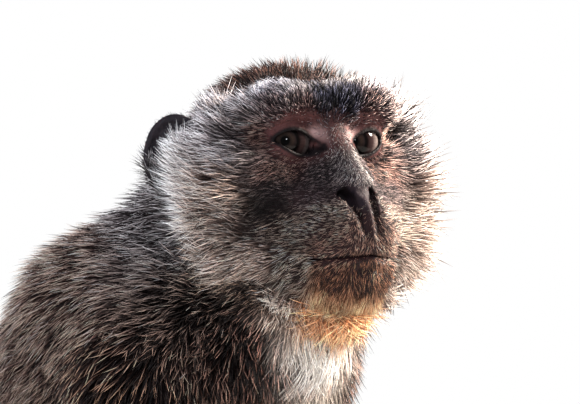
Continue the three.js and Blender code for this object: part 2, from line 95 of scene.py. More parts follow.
EYES = {side: middle(f"eye_{side}") for side in SIDES}
EYE_RADIUS = float((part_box("eye_left")[1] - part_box("eye_left")[0])[2]) / 2 / MM
EYE_SPREAD = float(np.linalg.norm(EYES["left"] - EYES["right"])) / 2 / MM
HEAD_LEFT = (EYES["left"] - EYES["right"]) / (2 * EYE_SPREAD * MM)
HEAD_FORWARD = np.array([HEAD_LEFT[1], -HEAD_LEFT[0], 0.0])
UP = np.array([0.0, 0.0, 1.0])
HEAD_AXES = np.stack([HEAD_LEFT, HEAD_FORWARD, UP])
BETWEEN_EYES = at(-35, 160.62, 395)
ROW_SHIFT = (EYES["left"] + EYES["right"]) / 2 / MM - BETWEEN_EYES


def to_row(points):
    """Metres in the row's frame, from millimetres in the body's."""
    return (np.asarray(points) + ROW_SHIFT) * MM


def from_row(points):
    return np.asarray(points) / MM - ROW_SHIFT


def on_head(x, forward, up):
    return BETWEEN_EYES + np.array([x, forward, up]) @ HEAD_AXES


def into_head(points):
    return (points - BETWEEN_EYES) @ HEAD_AXES.T


# ---- fields: negative inside, positive outside ----

def ball(p, centre, half):
    """An ellipsoid. One number for half makes a sphere."""
    half = np.broadcast_to(np.asarray(half, float), (3,))
    d = p - np.asarray(centre, float)
    scaled = np.linalg.norm(d / half, axis=1)
    slope = np.linalg.norm(d / half**2, axis=1)
    return scaled * (scaled - 1) / np.maximum(slope, 1e-9)


def rod(p, start, end, start_radius, end_radius=None):
    """A limb with round ends."""
    end_radius = start_radius if end_radius is None else end_radius
    start = np.asarray(start, float)
    along = np.asarray(end, float) - start
    t = np.clip((p - start) @ along / (along @ along), 0, 1)
    near = np.linalg.norm(p - start - t[:, None] * along, axis=1)
    return near - (start_radius + (end_radius - start_radius) * t)


def chain(p, points, radii):
    """Rods end to end."""
    rods = [rod(p, a, b, ra, rb) for a, b, ra, rb in zip(points, points[1:], radii, radii[1:])]
    return np.minimum.reduce(rods)


def blend(k, *fields):
    out = fields[0]
    for field in fields[1:]:
        h = np.maximum(k - np.abs(out - field), 0) / k
        out = np.minimum(out, field) - h * h * k / 4
    return out


def carve(k, field, tool):
    return -blend(k, -field, tool)


def bump(value, centre, width):
    """1 at the centre, falling to 0 over the width on each side."""
    return np.exp(-(((value - centre) / width) ** 2))


def ease(value, low, high):
    t = np.clip((value - low) / (high - low), 0, 1)
    return t * t * (3 - 2 * t)


def fall(value, low, high):
    return 1 - ease(value, low, high)


def unit(v):
    return v / np.maximum(np.linalg.norm(v, axis=-1, keepdims=True), 1e-9)


# ---- growing a closed surface from a field ----

def spaced(start, *stretches):
    """Grid lines from start on, with the given step up to each stop."""
    line = [np.array([start], float)]
    for stop, step in stretches:
        first = line[-1][-1]
        line.append(np.linspace(first, stop, max(2, int(round((stop - first) / step)) + 1))[1:])
    return np.concatenate(line)


def slope_of(field, points, step=0.2):
    out = np.empty_like(points)
    for axis in range(3):
        shift = np.zeros(3)
        shift[axis] = step
        out[:, axis] = (field(points + shift) - field(points - shift)) / (2 * step)
    return out


def close_diagonals(value):
    """Fills the corners that would make two sheets of the surface share one edge."""
    for _ in range(6):
        found = 0
        for first, second in ((0, 1), (0, 2), (1, 2)):
            corners = []
            for i, j in ((0, 0), (1, 0), (0, 1), (1, 1)):
                part = [slice(None)] * 3
                part[first] = slice(i, value.shape[first] - 1 + i)
                part[second] = slice(j, value.shape[second] - 1 + j)
                corners.append(value[tuple(part)])
            a, b, c, d = [corner < 0 for corner in corners]
            crossed = (a == d) & (b == c) & (a != b)
            found += int(crossed.sum())
            for corner in corners:
                corner[crossed & (corner >= 0)] = -1e-3
        if not found:
            break


def grow(field, xs, ys, zs, rounds=2):
    """Vertices and quads of field = 0: one vertex in each cell that the surface crosses."""
    lines = (xs, ys, zs)
    shape = tuple(len(line) for line in lines)
    grid = np.stack(np.meshgrid(*lines, indexing="ij"), -1)
    value = field(grid.reshape(-1, 3)).reshape(shape)
    close_diagonals(value)
    inside = value < 0
    cells = tuple(n - 1 for n in shape)
    total, count = np.zeros(cells + (3,)), np.zeros(cells)
    quads = []
    for axis in range(3):
        low, high = [slice(None)] * 3, [slice(None)] * 3
        low[axis], high[axis] = slice(0, -1), slice(1, None)
        low, high = tuple(low), tuple(high)
        crossed = inside[low] != inside[high]
        where = np.argwhere(crossed)
        a, b = value[low][crossed], value[high][crossed]
        t = (a / (a - b))[:, None]
        point = grid[low][crossed] * (1 - t) + grid[high][crossed] * t
        u, v = (axis + 1) % 3, (axis + 2) % 3
        ring = []
        for du, dv in ((0, 0), (-1, 0), (-1, -1), (0, -1)):
            cell = where.copy()
            cell[:, u] += du
            cell[:, v] += dv
            np.add.at(total, tuple(cell.T), point)
            np.add.at(count, tuple(cell.T), 1)
            ring.append(np.ravel_multi_index(tuple(cell.T), cells))
        ring = np.stack(ring, 1)
        leaving = ~inside[low][crossed]
        ring[leaving] = ring[leaving][:, ::-1]
        quads.append(ring)
    used = count > 0
    number = np.full(count.size, -1)
    number[used.ravel()] = np.arange(used.sum())
    verts = total[used] / count[used][:, None]
    corner = np.argwhere(used)
    low = np.stack([line[corner[:, axis]] for axis, line in enumerate(lines)], 1)
    high = np.stack([line[corner[:, axis] + 1] for axis, line in enumerate(lines)], 1)
    rim = (high - low) * 0.02
    for _ in range(rounds):
        slope = slope_of(field, verts)
        step = slope * (-field(verts) / np.maximum((slope**2).sum(1), 0.05))[:, None]
        verts = np.clip(verts + step * 0.9, low + rim, high - rim)
    return verts, number[np.concatenate(quads)]


# ---- meshes and objects ----

def put(name, data):
    """A new object in the scene, at the origin."""
    made = bpy.data.objects.new(name, data)
    bpy.context.scene.collection.objects.link(made)
    return made


def mesh_of(bm, name):
    """The bmesh as a mesh. The bmesh is freed."""
    mesh = bpy.data.meshes.new(name)
    bm.to_mesh(mesh)
    bm.free()
    return mesh


def shade_smooth(mesh):
    mesh.polygons.foreach_set("use_smooth", np.ones(len(mesh.polygons), bool))


def read_vectors(items, key):
    """The vector that each item has under the key, as rows."""
    flat = np.empty(len(items) * 3)
    items.foreach_get(key, flat)
    return flat.reshape(-1, 3)


def colour_vertices(mesh, name, tones):
    """Adds a colour attribute, from a row of linear colour for each vertex."""
    shades = np.ones((len(tones), 4))
    shades[:, :3] = tones
    colour = mesh.color_attributes.new(name, "FLOAT_COLOR", "POINT")
    colour.data.foreach_set("color", shades.astype(np.float32).ravel())


# ---- the skeleton ----
# A bone's radii reach to the tips of the coat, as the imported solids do, and depth is the coat's.
Bone = namedtuple("Bone", "part start end radii depth lie hair look")

SEAT, LOIN, BACK = at(0, -26, 70), at(0, -30, 150), at(0, -8, 232)
CHEST, BREAST, NECK = at(0, 36, 288), at(0, 82, 303), at(0, 84, 334)
SKULL_BASE = on_head(0, -58, -34)
TAIL_BASE = at(0, -84, 52)
DOWN = at(0, 0, -1)
DOWN_BACK = at(0, -0.75, -0.66)


def joints(s):
    return {
        "hip": at(46 * s, -12, 84),
        "knee": at(125 * s, 84, 152),
        "ankle": at(108 * s, 20, 34),
        "shoulder": at(56 * s, 80, 284),
        "elbow": at(62 * s, 104, 160),
        "wrist": at(40 * s, 132, 36),
    }


def trunk_bones():
    yield Bone("pelvis", SEAT, LOIN, (60, 58), (9, 10), DOWN, 20, "back")
    yield Bone("pelvis", at(0, -60, 66), TAIL_BASE, (26, 17), (8, 6), DOWN_BACK, 14, "back")
    yield Bone("belly", LOIN, BACK, (62, 66), (10, 10), at(0, -0.1, -1), 22, "back")
    yield Bone("chest", BACK, CHEST, (64, 64), (10, 15), DOWN_BACK, 20, "back")
    yield Bone("chest", CHEST, BREAST, (64, 58), (15, 10), DOWN_BACK, 20, "back")
    yield Bone("neck", NECK, SKULL_BASE, (48, 42), (6, 8), at(0, -0.8, -0.6), 26, "nape")
    yield Bone("neck", BREAST, on_head(0, -24, -84), (46, 25), (11, 9), at(0, 0.1, -1), 26, "chest")
    for s in SIDES.values():
        hip = joints(s)["hip"]
        yield Bone("pelvis", at(18 * s, -34, 42), hip, (44, 46), (7, 8), at(0.3 * s, -0.2, -1), 16, "back")
        blade, shoulder = at(24 * s, 42, 312), at(36 * s, 76, 302)
        yield Bone("chest", blade, shoulder, (46, 46), (10, 10), at(0.25 * s, -0.5, -0.85), 20, "back")
        yield Bone("chest", at(44 * s, 86, 294), at(24 * s, 106, 292), (38, 34), (10, 9), DOWN, 19, "chest")


def limb_bones(side):
    j = joints(SIDES[side])
    s = SIDES[side]
    yield Bone(f"arm_{side}", j["shoulder"], j["elbow"], (36, 25), (9, 8), at(0, -0.25, -1), 21, "limb")
    yield Bone(f"arm_{side}", j["elbow"], j["wrist"], (24, 14), (7, 3.5), j["wrist"] - j["elbow"], 15, "limb")
    yield Bone(f"leg_{side}", j["hip"], j["knee"], (48, 29), (9, 8), j["knee"] - j["hip"], 19, "limb")
    down = j["ankle"] - j["knee"]
    yield Bone(f"leg_{side}", j["knee"], j["ankle"], (27, 15), (6, 3.5), down, 12, "limb")
    yield Bone(f"leg_{side}", at(118 * s, 52, 108), at(114 * s, 42, 84), (25, 20), (6, 5), down, 12, "limb")
    yield Bone(f"leg_{side}", j["ankle"], at(110 * s, 50, 20), (15, 13), (3.5, 2.5), DOWN, 6, "limb")


TRUNK = list(trunk_bones())
LIMBS = {side: list(limb_bones(side)) for side in SIDES}
GROUND = 0.35  # the skin's flats stay this far above the floor


def flesh(p, bone):
    (a, b), (da, db) = bone.radii, bone.depth
    return rod(p, bone.start, bone.end, a - da, b - db)


def above_ground(p, field):
    return np.maximum(field, GROUND - p[:, 2])


def body_field(p):
    trunk = blend(20, *[flesh(p, bone) for bone in TRUNK])
    trunk = blend(20, trunk, ball(p, at(0, 18, 160), (46, 48, 56)))
    for side in SIDES:
        upper, lower, thigh, shank, calf, heel = [flesh(p, bone) for bone in LIMBS[side]]
        trunk = blend(18, trunk, upper, thigh)
        trunk = blend(4, trunk, blend(9, lower, np.maximum(upper, 1)), blend(9, shank, calf, heel))
    return above_ground(p, trunk)


# ---- hands, feet and tail ----

def heading(degrees):
    angle = math.radians(degrees)
    return at(math.sin(angle), math.cos(angle), 0)


Digit = namedtuple("Digit", "root heading length radius rise")
FINGERS = [
    Digit(at(39 + 8.6 * m, 172 - 2.2 * m * m, 12), heading(7 * m), 43 - 3 * abs(m), 5.2, 13)
    for m in (-1.5, -0.5, 0.5, 1.5)
] + [Digit(at(27, 146, 13), heading(-38), 30, 5, 10)]
TOES = [
    Digit(at(118 + 8.8 * m, 96 - 2 * m * m, 13), heading(9 + 6 * m), 43 - 3 * abs(m), 5.6, 14)
    for m in (-1.5, -0.5, 0.5, 1.5)
] + [Digit(at(103, 62, 14), heading(-26), 42, 6.6, 12)]


def digit_point(d, share, up):
    point = d.root + d.heading * d.length * share
    point[2] = up
    return point


def digit_field(p, d):
    """A finger or toe: three bones with wider joints, and a pad under its tip."""
    r = d.radius - 0.5
    places = [d.root, digit_point(d, 0.42, d.rise), digit_point(d, 0.74, r), digit_point(d, 1, r * 0.8 + 0.3)]
    shaft = chain(p, places, [r * 1.1, r * 0.96, r * 0.86, r * 0.74])
    knuckle = ball(p, digit_point(d, 0.42, d.rise + 0.3), r * 1.08)
    pad = ball(p, digit_point(d, 0.93, r * 0.75), (r * 0.95, r * 1.2, r * 0.7))
    return blend(2, shaft, knuckle, pad)


def flat_rod(p, start, end, start_radius, end_radius, flat):
    squeeze = np.array([1, 1, 1 / flat])
    return rod(p * squeeze, start * squeeze, end * squeeze, start_radius, end_radius) * (1 + flat) / 2


def hand_field(p):
    """The left hand: the right one is its mirror image."""
    wrist = joints(1)["wrist"]
    palm_middle, knuckles = at(40, 152, 11), at(39, 172, 11.5)
    palm = blend(
        7,
        flat_rod(p, wrist + at(-4, -12, 26), wrist, 9.5, 11, 0.85),
        flat_rod(p, wrist, palm_middle, 12, 15.5, 0.72),
        flat_rod(p, palm_middle, knuckles, 15.5, 16.5, 0.68),
    )
    digits = [digit_field(p, d) for d in FINGERS]
    hand = blend(3, palm, np.minimum.reduce(digits[:4]))
    return above_ground(p, blend(4, hand, digits[4]))


def foot_field(p):
    ankle = joints(1)["ankle"]
    sole = blend(
        7,
        flat_rod(p, at(106, 2, 8.5), at(108, 22, 10.5), 11, 14, 0.78),
        flat_rod(p, at(108, 22, 10.5), at(113, 60, 11), 14, 14.5, 0.76),
        flat_rod(p, at(113, 60, 11), at(118, 96, 12.5), 14.5, 17, 0.7),
        rod(p, ankle + at(1, 5, 10), at(110, 38, 20), 10.5, 11),
    )
    digits = [digit_field(p, d) for d in TOES]
    foot = blend(3, sole, np.minimum.reduce(digits[:4]))
    return above_ground(p, blend(4, foot, digits[4]))


TAIL_LENGTH = 520
TAIL_STOPS = [
    TAIL_BASE + at(0, 10, 4), TAIL_BASE, at(2, -114, 26), at(14, -156, 12.5), at(54, -210, 11.5),
    at(122, -240, 10), at(194, -230, 8.5), at(246, -184, 7), at(268, -120, 5.5),
]


def tail_line(steps=44):
    """Points along the tail, a step apart: a smooth curve through its stops."""
    stops = [2 * TAIL_STOPS[0] - TAIL_STOPS[1], *TAIL_STOPS, 2 * TAIL_STOPS[-1] - TAIL_STOPS[-2]]
    fine = []
    for a, b, c, d in zip(stops, stops[1:], stops[2:], stops[3:]):
        knots = np.cumsum([0, *[math.sqrt(np.linalg.norm(v - u)) for u, v in ((a, b), (b, c), (c, d))]])
        for t in np.linspace(knots[1], knots[2], 24, endpoint=False):
            level = [a, b, c, d]
            for width in (1, 2, 3):
                spans = [(knots[i], knots[i + width]) for i in range(4 - width)]
                if width == 3:
                    spans = [(knots[1], knots[2])]
                level = [
                    (u * (high - t) + v * (t - low)) / (high - low)
                    for u, v, (low, high) in zip(level, level[1:], spans)
                ]
            fine.append(level[0])
    fine = np.array([*fine, TAIL_STOPS[-1]])
    run = np.concatenate([[0], np.cumsum(np.linalg.norm(np.diff(fine, axis=0), axis=1))])
    want = np.linspace(0, min(TAIL_LENGTH, run[-1]), steps)
    return np.stack([np.interp(want, run, fine[:, axis]) for axis in range(3)], 1)


TAIL = tail_line()
TAIL_SHARE = np.linspace(0, 1, len(TAIL))
TAIL_COAT = 17 + (7.2 - 17) * TAIL_SHARE**0.8
TAIL_DEPTH = 6 + (3 - 6) * TAIL_SHARE


def tail_field(p):
    radii = TAIL_COAT - TAIL_DEPTH
    return above_ground(p, chain(p, TAIL[:-1], radii[:-1]))


# ---- the skin of the head ----
# x is taken without its sign, so that both sides are the same.
CANTHUS_IN, CANTHUS_OUT = 9.9, 10.4  # the corners of the lids, from the eye's middle
LID = 1.5  # their thickness


def lid_opening(x, up):
    """Negative inside the opening between the lids, seen from the front."""
    along = x - EYE_SPREAD
    share = np.clip((along + CANTHUS_IN) / (CANTHUS_IN + CANTHUS_OUT), 0, 1)
    corner = -2.4 + 3.2 * share
    upper = corner + 5.6 * np.sin(np.pi * share**1.1) ** 0.75
    lower = corner - 4.5 * np.sin(np.pi * share**0.85) ** 0.9
    past = np.maximum(-CANTHUS_IN - along, along - CANTHUS_OUT)
    return np.maximum(np.maximum(up - upper, lower - up) * 0.8, past)


def mouth_height(x):
    return -51.4 - 2.6 * (x / 24) ** 2 + 0.5 * bump(x, 0, 4)


def skull_field(q):
    skull = blend(
        12,
        ball(q, (0, -45, -8), (37, 39, 35.5)),
        rod(q, (0, 6, 14), (21, 4, 14.5), 7.4, 7.0),
        rod(q, (21, 4, 14.5), (34, -18, 6), 7.0, 9),
        rod(q, (0, -4, 13.5), (18, -6, 12.5), 10, 9),
        ball(q, (0, -6, -13), (34, 15, 23)),
    )
    cheek = blend(
        10,
        rod(q, (30, -5, -12), (42, -26, -10), 9.5, 10.5),
        rod(q, (39.5, -13, -20), (35, -8, -46), 11.5, 13.5),
        rod(q, (24, 1, -28), (22, 3, -52), 12.5, 12),
    )
    return blend(9, skull, cheek)


def nose_field(q):
    return blend(
        4,
        rod(q, (0, 6.5, 3.5), (0, 24.5, -15), 7.2, 6.8),
        rod(q, (5, 7, -4), (8, 15, -18), 7, 8.5),
        ball(q, (0, 29.0, -18.5), (6.0, 6.4, 5.6)),
        rod(q, (4.4, 27.8, -19.5), (8.2, 24.8, -26), 4.3, 4),
    )


def muzzle_field(q):
    muzzle = blend(
        8,
        ball(q, (0, 19, -41), (23.5, 25, 18)),
        rod(q, (14, 2, -24), (12.5, 17, -38), 12, 14),
        rod(q, (0, 30, -30), (0, 31, -44), 8, 13),
    )
    return blend(3, muzzle, rod(q, (0, 33.5, -47.4), (13, 28, -49.2), 10.4, 8))


def jaw_field(q):
    return blend(
        7,
        ball(q, (0, 12, -63), (20, 24.5, 13)),
        rod(q, (0, 29.5, -57.5), (11, 25.5, -58), 10, 8),
        ball(q, (0, 14, -68), (16.5, 17, 11)),
        rod(q, (18, 6, -62), (30, -18, -46), 10, 12),
        rod(q, (0, 2, -68), (0, -26, -82), 15, 21),
    )


def head_field(p):
    """The head's skin, in the head's frame."""
    x, forward, up = np.abs(p[:, 0]), p[:, 1], p[:, 2]
    q = np.stack([x, forward, up], 1)
    face = carve(6, skull_field(q), ball(q, (EYE_SPREAD + 1, 17.5, 2), (13.5, 9, 9.5)))
    face = blend(7, face, muzzle_field(q))
    face = blend(6, face, nose_field(q))
    head = blend(2.5, face, jaw_field(q))
    head = blend(12, head, rod(q, (0, -46, -26), (0, -62, -66), 30, 30))
    # Lids: a shell round each eyeball, with folds above it and a bag below.
    eye = (EYE_SPREAD, 0, 0)
    head = blend(2.2, head, ball(q, eye, EYE_RADIUS + LID))
    along = x - EYE_SPREAD
    near_eye = bump(along, 0, 13) * ease(forward, 2, 7)
    crease = 9.0 - 0.028 * (along - 1) ** 2
    bag = -8.8 + 0.035 * (along - 0.5) ** 2
    head = head + 0.8 * bump(up, crease, 0.9) * near_eye + 0.45 * bump(up, crease + 3, 1.0) * near_eye
    head = head + 0.55 * bump(up, bag, 0.9) * near_eye + 0.4 * bump(up, bag - 2.8, 1.0) * near_eye
    reach = ball(q, eye, EYE_RADIUS + LID + 1.6)
    # The cut between the lids stays shallow at both corners.
    shallow = 9.6 * ease(-along, 3.6, 7.6) + 5.0 * ease(along, 7, 9.6)
    head = carve(0.6, head, np.maximum.reduce([lid_opening(x, up), shallow - forward, reach]))
    head = np.maximum(head, 0.1 - ball(q, eye, EYE_RADIUS))
    # The inner corner runs on as a short pointed groove.
    tear = rod(np.stack([along, up], 1), (-8.6, -2.3), (-10.2, -3.0), 0.5, 0.2)
    head = head + 0.6 * np.exp(-np.maximum(tear, 0) ** 2 / 0.25) * ease(forward, 3, 6)
    # Nostrils, with the groove that runs on from each towards the lip.
    nostril = blend(
        1.5,
        rod(q, (6.4, 34, -22.5), (7.4, 29.5, -25.0), 2.5, 2.9),
        rod(q, (6.8, 33.0, -26), (5.2, 38.6, -33.0), 2.0, 0.8),
    )
    head = carve(1.2, head, nostril)
    groove = 1.5 * bump(x, 4.6 + 0.14 * (up + 28), 2.2) * ease(up, -49, -36) * fall(up, -28, -23)
    septum = bump(x, 0, 1.6) * ease(up, -47, -40) * fall(up, -30, -24)
    groove = groove * ease(forward, 25, 32) - 0.7 * septum
    # The mouth's line, and the lips' turned edges.
    line = ease(forward, 16, 24) * fall(x, 23.5, 27)
    lip = bump(up, mouth_height(x) + 3.2, 1.6) + bump(up, mouth_height(x) - 3.4, 1.7)
    return head + 1.7 * groove + line * (2.4 * bump(up, mouth_height(x), 0.95) - 0.5 * lip)


def head_lines():
    xs = spaced(-58, (-37, 3), (-31, 1.5), (31, 0.9), (37, 1.5), (58, 3))
    ys = spaced(-50, (-4, 0.9), (6, 1.5), (104, 3.2))
    zs = spaced(-106, (-80, 3), (-66, 1.5), (-12, 1.0), (14, 0.78), (24, 1.5), (40, 3))
    return xs, ys, zs


# ---- ears ----
EAR_MIDDLE = np.array([49.0, -49.0, -7.0])
EAR_OUT = unit(np.array([0.72, -0.69, 0.0]))
EAR_OPEN = unit(np.array([0.69, 0.72, 0.0]))
EAR_HALF = (14.5, 19.5)


def ear_field(p):
    """The left ear in the head's frame: a thin cup with a rolled rim, opening forwards."""
    d = p - EAR_MIDDLE
    out, opening, up = d @ EAR_OUT, d @ EAR_OPEN, d[:, 2]
    # The rim is fuller above and behind, and narrows to a small lobe.
    width = EAR_HALF[0] * (1 - 0.16 * ease(-up, 4, 20))
    round_ = np.sqrt((out / width) ** 2 + (up / EAR_HALF[1]) ** 2)
    edge = (round_ - 1) * 15
    cup = -5.2 * (1 - np.clip(round_, 0, 1.2) ** 2)
    sheet = np.abs(opening - cup) - 1.15
    shell = -blend(1.2, -sheet, -edge)
    rim = np.hypot(edge + 1.2, opening - cup - 1.3) - 1.5
    inner = np.hypot((round_ - 0.62) * 14, opening - cup - 1) - 1.1
    ridge = np.maximum(inner, -out - 3)
    ridge = np.maximum(ridge, -up - 8)
    stub = rod(p, (36, -40, -9), (45, -46, -9), 7, 5)
    tragus = rod(p, (42.5, -36, -10), (44, -36.5, -13), 2.6, 2.2)
    return blend(2.5, blend(1.5, shell, rim, ridge), stub, tragus)


# ---- one skin ----
# Each region of the skin: its field over body millimetres, and the grid it is grown on.
Region = namedtuple("Region", "name field lines place")
FLIP = np.array([1, -1, 1])


def mirror_x(field):
    return lambda p: field(p * np.array([-1, 1, 1]))


def in_head(field):
    """A field of the head's frame, for a grid whose second axis runs backwards."""
    return lambda q: field(q * FLIP)


def place_on_head(q):
    return BETWEEN_EYES + (q * FLIP) @ HEAD_AXES


def same_place(q):
    return q


def grid_lines(low, high, step):
    return [spaced(a, (b, step)) for a, b in zip(low, high)]


def regions():
    yield Region("body", body_field, grid_lines((-160, -215, -3), (160, 125, 406), 4.6), same_place)
    yield Region("head", in_head(head_field), head_lines(), place_on_head)
    tail_low, tail_high = TAIL.min(0) - 18, TAIL.max(0) + 18
    yield Region("tail", tail_field, grid_lines((tail_low[0], tail_low[1], -3), tail_high, 3), same_place)
    for side, s in SIDES.items():
        flip = mirror_x if s < 0 else same_place
        hand_a, hand_b = sorted((-5 * s, 74 * s))
        foot_a, foot_b = sorted((70 * s, 162 * s))
        ear_a, ear_b = sorted((25 * s, 68 * s))
        hand = grid_lines((hand_a, -228, -2), (hand_b, -108, 72), 1.8)
        foot = grid_lines((foot_a, -150, -2), (foot_b, 16, 60), 2)
        yield Region(f"hand_{side}", flip(hand_field), hand, same_place)
        yield Region(f"foot_{side}", flip(foot_field), foot, same_place)
        ear = [spaced(ear_a, (ear_b, 1.15)), spaced(26, (70, 1.15)), spaced(-34, (20, 1.15))]
        yield Region(f"ear_{side}", in_head(flip(ear_field)), ear, place_on_head)


def field_over_body(region):
    """The region's field as a function of body millimetres."""
    if region.place is same_place:
        return region.field
    return lambda p: region.field(into_head(p) * FLIP)


def joined_skin():
    """Every region grown by itself, then joined into one closed skin."""
    grown = []
    for region in regions():
        verts, quads = grow(region.field, *region.lines)
        mesh = bpy.data.meshes.new(region.name)
        mesh.from_pydata(to_row(region.place(verts)).tolist(), [], quads.tolist())
        grown.append(put(region.name, mesh))
    body, others = grown[0], grown[1:]
    for piece in others:
        cut = body.modifiers.new(piece.name, "BOOLEAN")
        cut.operation = "UNION"
        cut.solver = "MANIFOLD"
        cut.object = piece
    mesh = bpy.data.meshes.new_from_object(body.evaluated_get(bpy.context.evaluated_depsgraph_get()))
    for piece in grown:
        bpy.data.meshes.remove(piece.data)
    return mesh


# ---- colours ----
# Each look of hair: its colour at the root, in the middle and at the tip, as shares of full
# brightness on screen, and the share of tufts that are pale to the tip.
Look = namedtuple("Look", "root middle tip pale")
LOOKS = {
    "crown": Look((0.045, 0.026, 0.028), (0.17, 0.108, 0.10), (0.54, 0.38, 0.31), 0.26),
    "brow": Look((0.04, 0.04, 0.07), (0.11, 0.12, 0.18), (0.52, 0.52, 0.62), 0.28),
    "forehead": Look((0.14, 0.13, 0.145), (0.70, 0.68, 0.72), (1.0, 0.99, 1.0), 0.66),
    "temple": Look((0.13, 0.11, 0.115), (0.66, 0.61, 0.61), (1.0, 0.98, 1.0), 0.6),
    "eyeside": Look((0.12, 0.07, 0.075), (0.30, 0.20, 0.20), (0.90, 0.70, 0.64), 0.4),
    # patch: dark hair in the hollow under the cheekbone, deepened near-black as painted shade of that hollow.
    "patch": Look((0.003, 0.004, 0.008), (0.007, 0.009, 0.016), (0.09, 0.086, 0.11), 0.02),
    "cheek": Look((0.22, 0.17, 0.16), (0.74, 0.63, 0.58), (1.0, 0.98, 0.94), 0.66),
    "ruff": Look((0.22, 0.19, 0.19), (0.82, 0.77, 0.76), (1.0, 1.0, 1.0), 0.78),
    "ruff_low": Look((0.04, 0.024, 0.026), (0.13, 0.09, 0.087), (0.90, 0.74, 0.64), 0.17),
    "throat": Look((0.80, 0.76, 0.73), (1.0, 0.97, 0.94), (1.0, 1.0, 0.99), 0.95),
    "beard": Look((0.40, 0.23, 0.14), (0.90, 0.60, 0.41), (1.0, 0.84, 0.67), 0.75),
    "chin": Look((0.06, 0.032, 0.036), (0.21, 0.125, 0.115), (0.90, 0.62, 0.48), 0.27),
    "lip": Look((0.10, 0.06, 0.065), (0.28, 0.18, 0.185), (0.92, 0.72, 0.64), 0.36),
    "muzzle": Look((0.075, 0.045, 0.05), (0.34, 0.25, 0.245), (1.0, 0.88, 0.81), 0.34),
    "nose": Look((0.075, 0.06, 0.07), (0.22, 0.18, 0.19), (0.66, 0.58, 0.59), 0.28),
    "bridge": Look((0.13, 0.11, 0.12), (0.42, 0.37, 0.38), (1.0, 0.94, 0.93), 0.52),
    "nape": Look((0.07, 0.055, 0.06), (0.32, 0.28, 0.29), (0.88, 0.85, 0.85), 0.45),
    "back": Look((0.035, 0.018, 0.022), (0.24, 0.137, 0.133), (1.0, 0.87, 0.80), 0.66),
    "limb": Look((0.07, 0.045, 0.05), (0.24, 0.165, 0.155), (0.92, 0.74, 0.61), 0.34),
    "chest": Look((0.028, 0.014, 0.018), (0.112, 0.06, 0.064), (0.92, 0.66, 0.58), 0.155),
    "belly": Look((0.42, 0.38, 0.36), (0.68, 0.63, 0.59), (0.88, 0.84, 0.79), 0.7),
    "tail": Look((0.13, 0.11, 0.11), (0.32, 0.28, 0.25), (0.60, 0.53, 0.46), 0.4),
    # ear: grey hair, with a blue cast that is painted cool light.
    "ear": Look((0.16, 0.17, 0.20), (0.24, 0.26, 0.30), (0.46, 0.48, 0.52), 0.4),
    "hand": Look((0.14, 0.12, 0.12), (0.28, 0.24, 0.23), (0.50, 0.45, 0.41), 0.35),
}
SKIN_TONES = {
    # eye_rim: the lids' own dark edge, and the painted shade in the nostrils, beside the septum and along the
    # mouth.
    "eye_rim": (0.06, 0.04, 0.05),
    "eye_skin": (0.29, 0.175, 0.175),
    "pale_lid": (0.70, 0.57, 0.56),
    "muzzle": (0.20, 0.135, 0.14),
    "nose": (0.165, 0.13, 0.15),
    "lip": (0.20, 0.12, 0.125),
    "ear": (0.17, 0.15, 0.17),
    "hand": (0.20, 0.17, 0.17),
    "seat": (0.50, 0.38, 0.36),
}


def linear(colour):
    c = np.asarray(colour, float)
    return np.where(c <= 0.04045, c / 12.92, ((c + 0.055) / 1.055) ** 2.4)


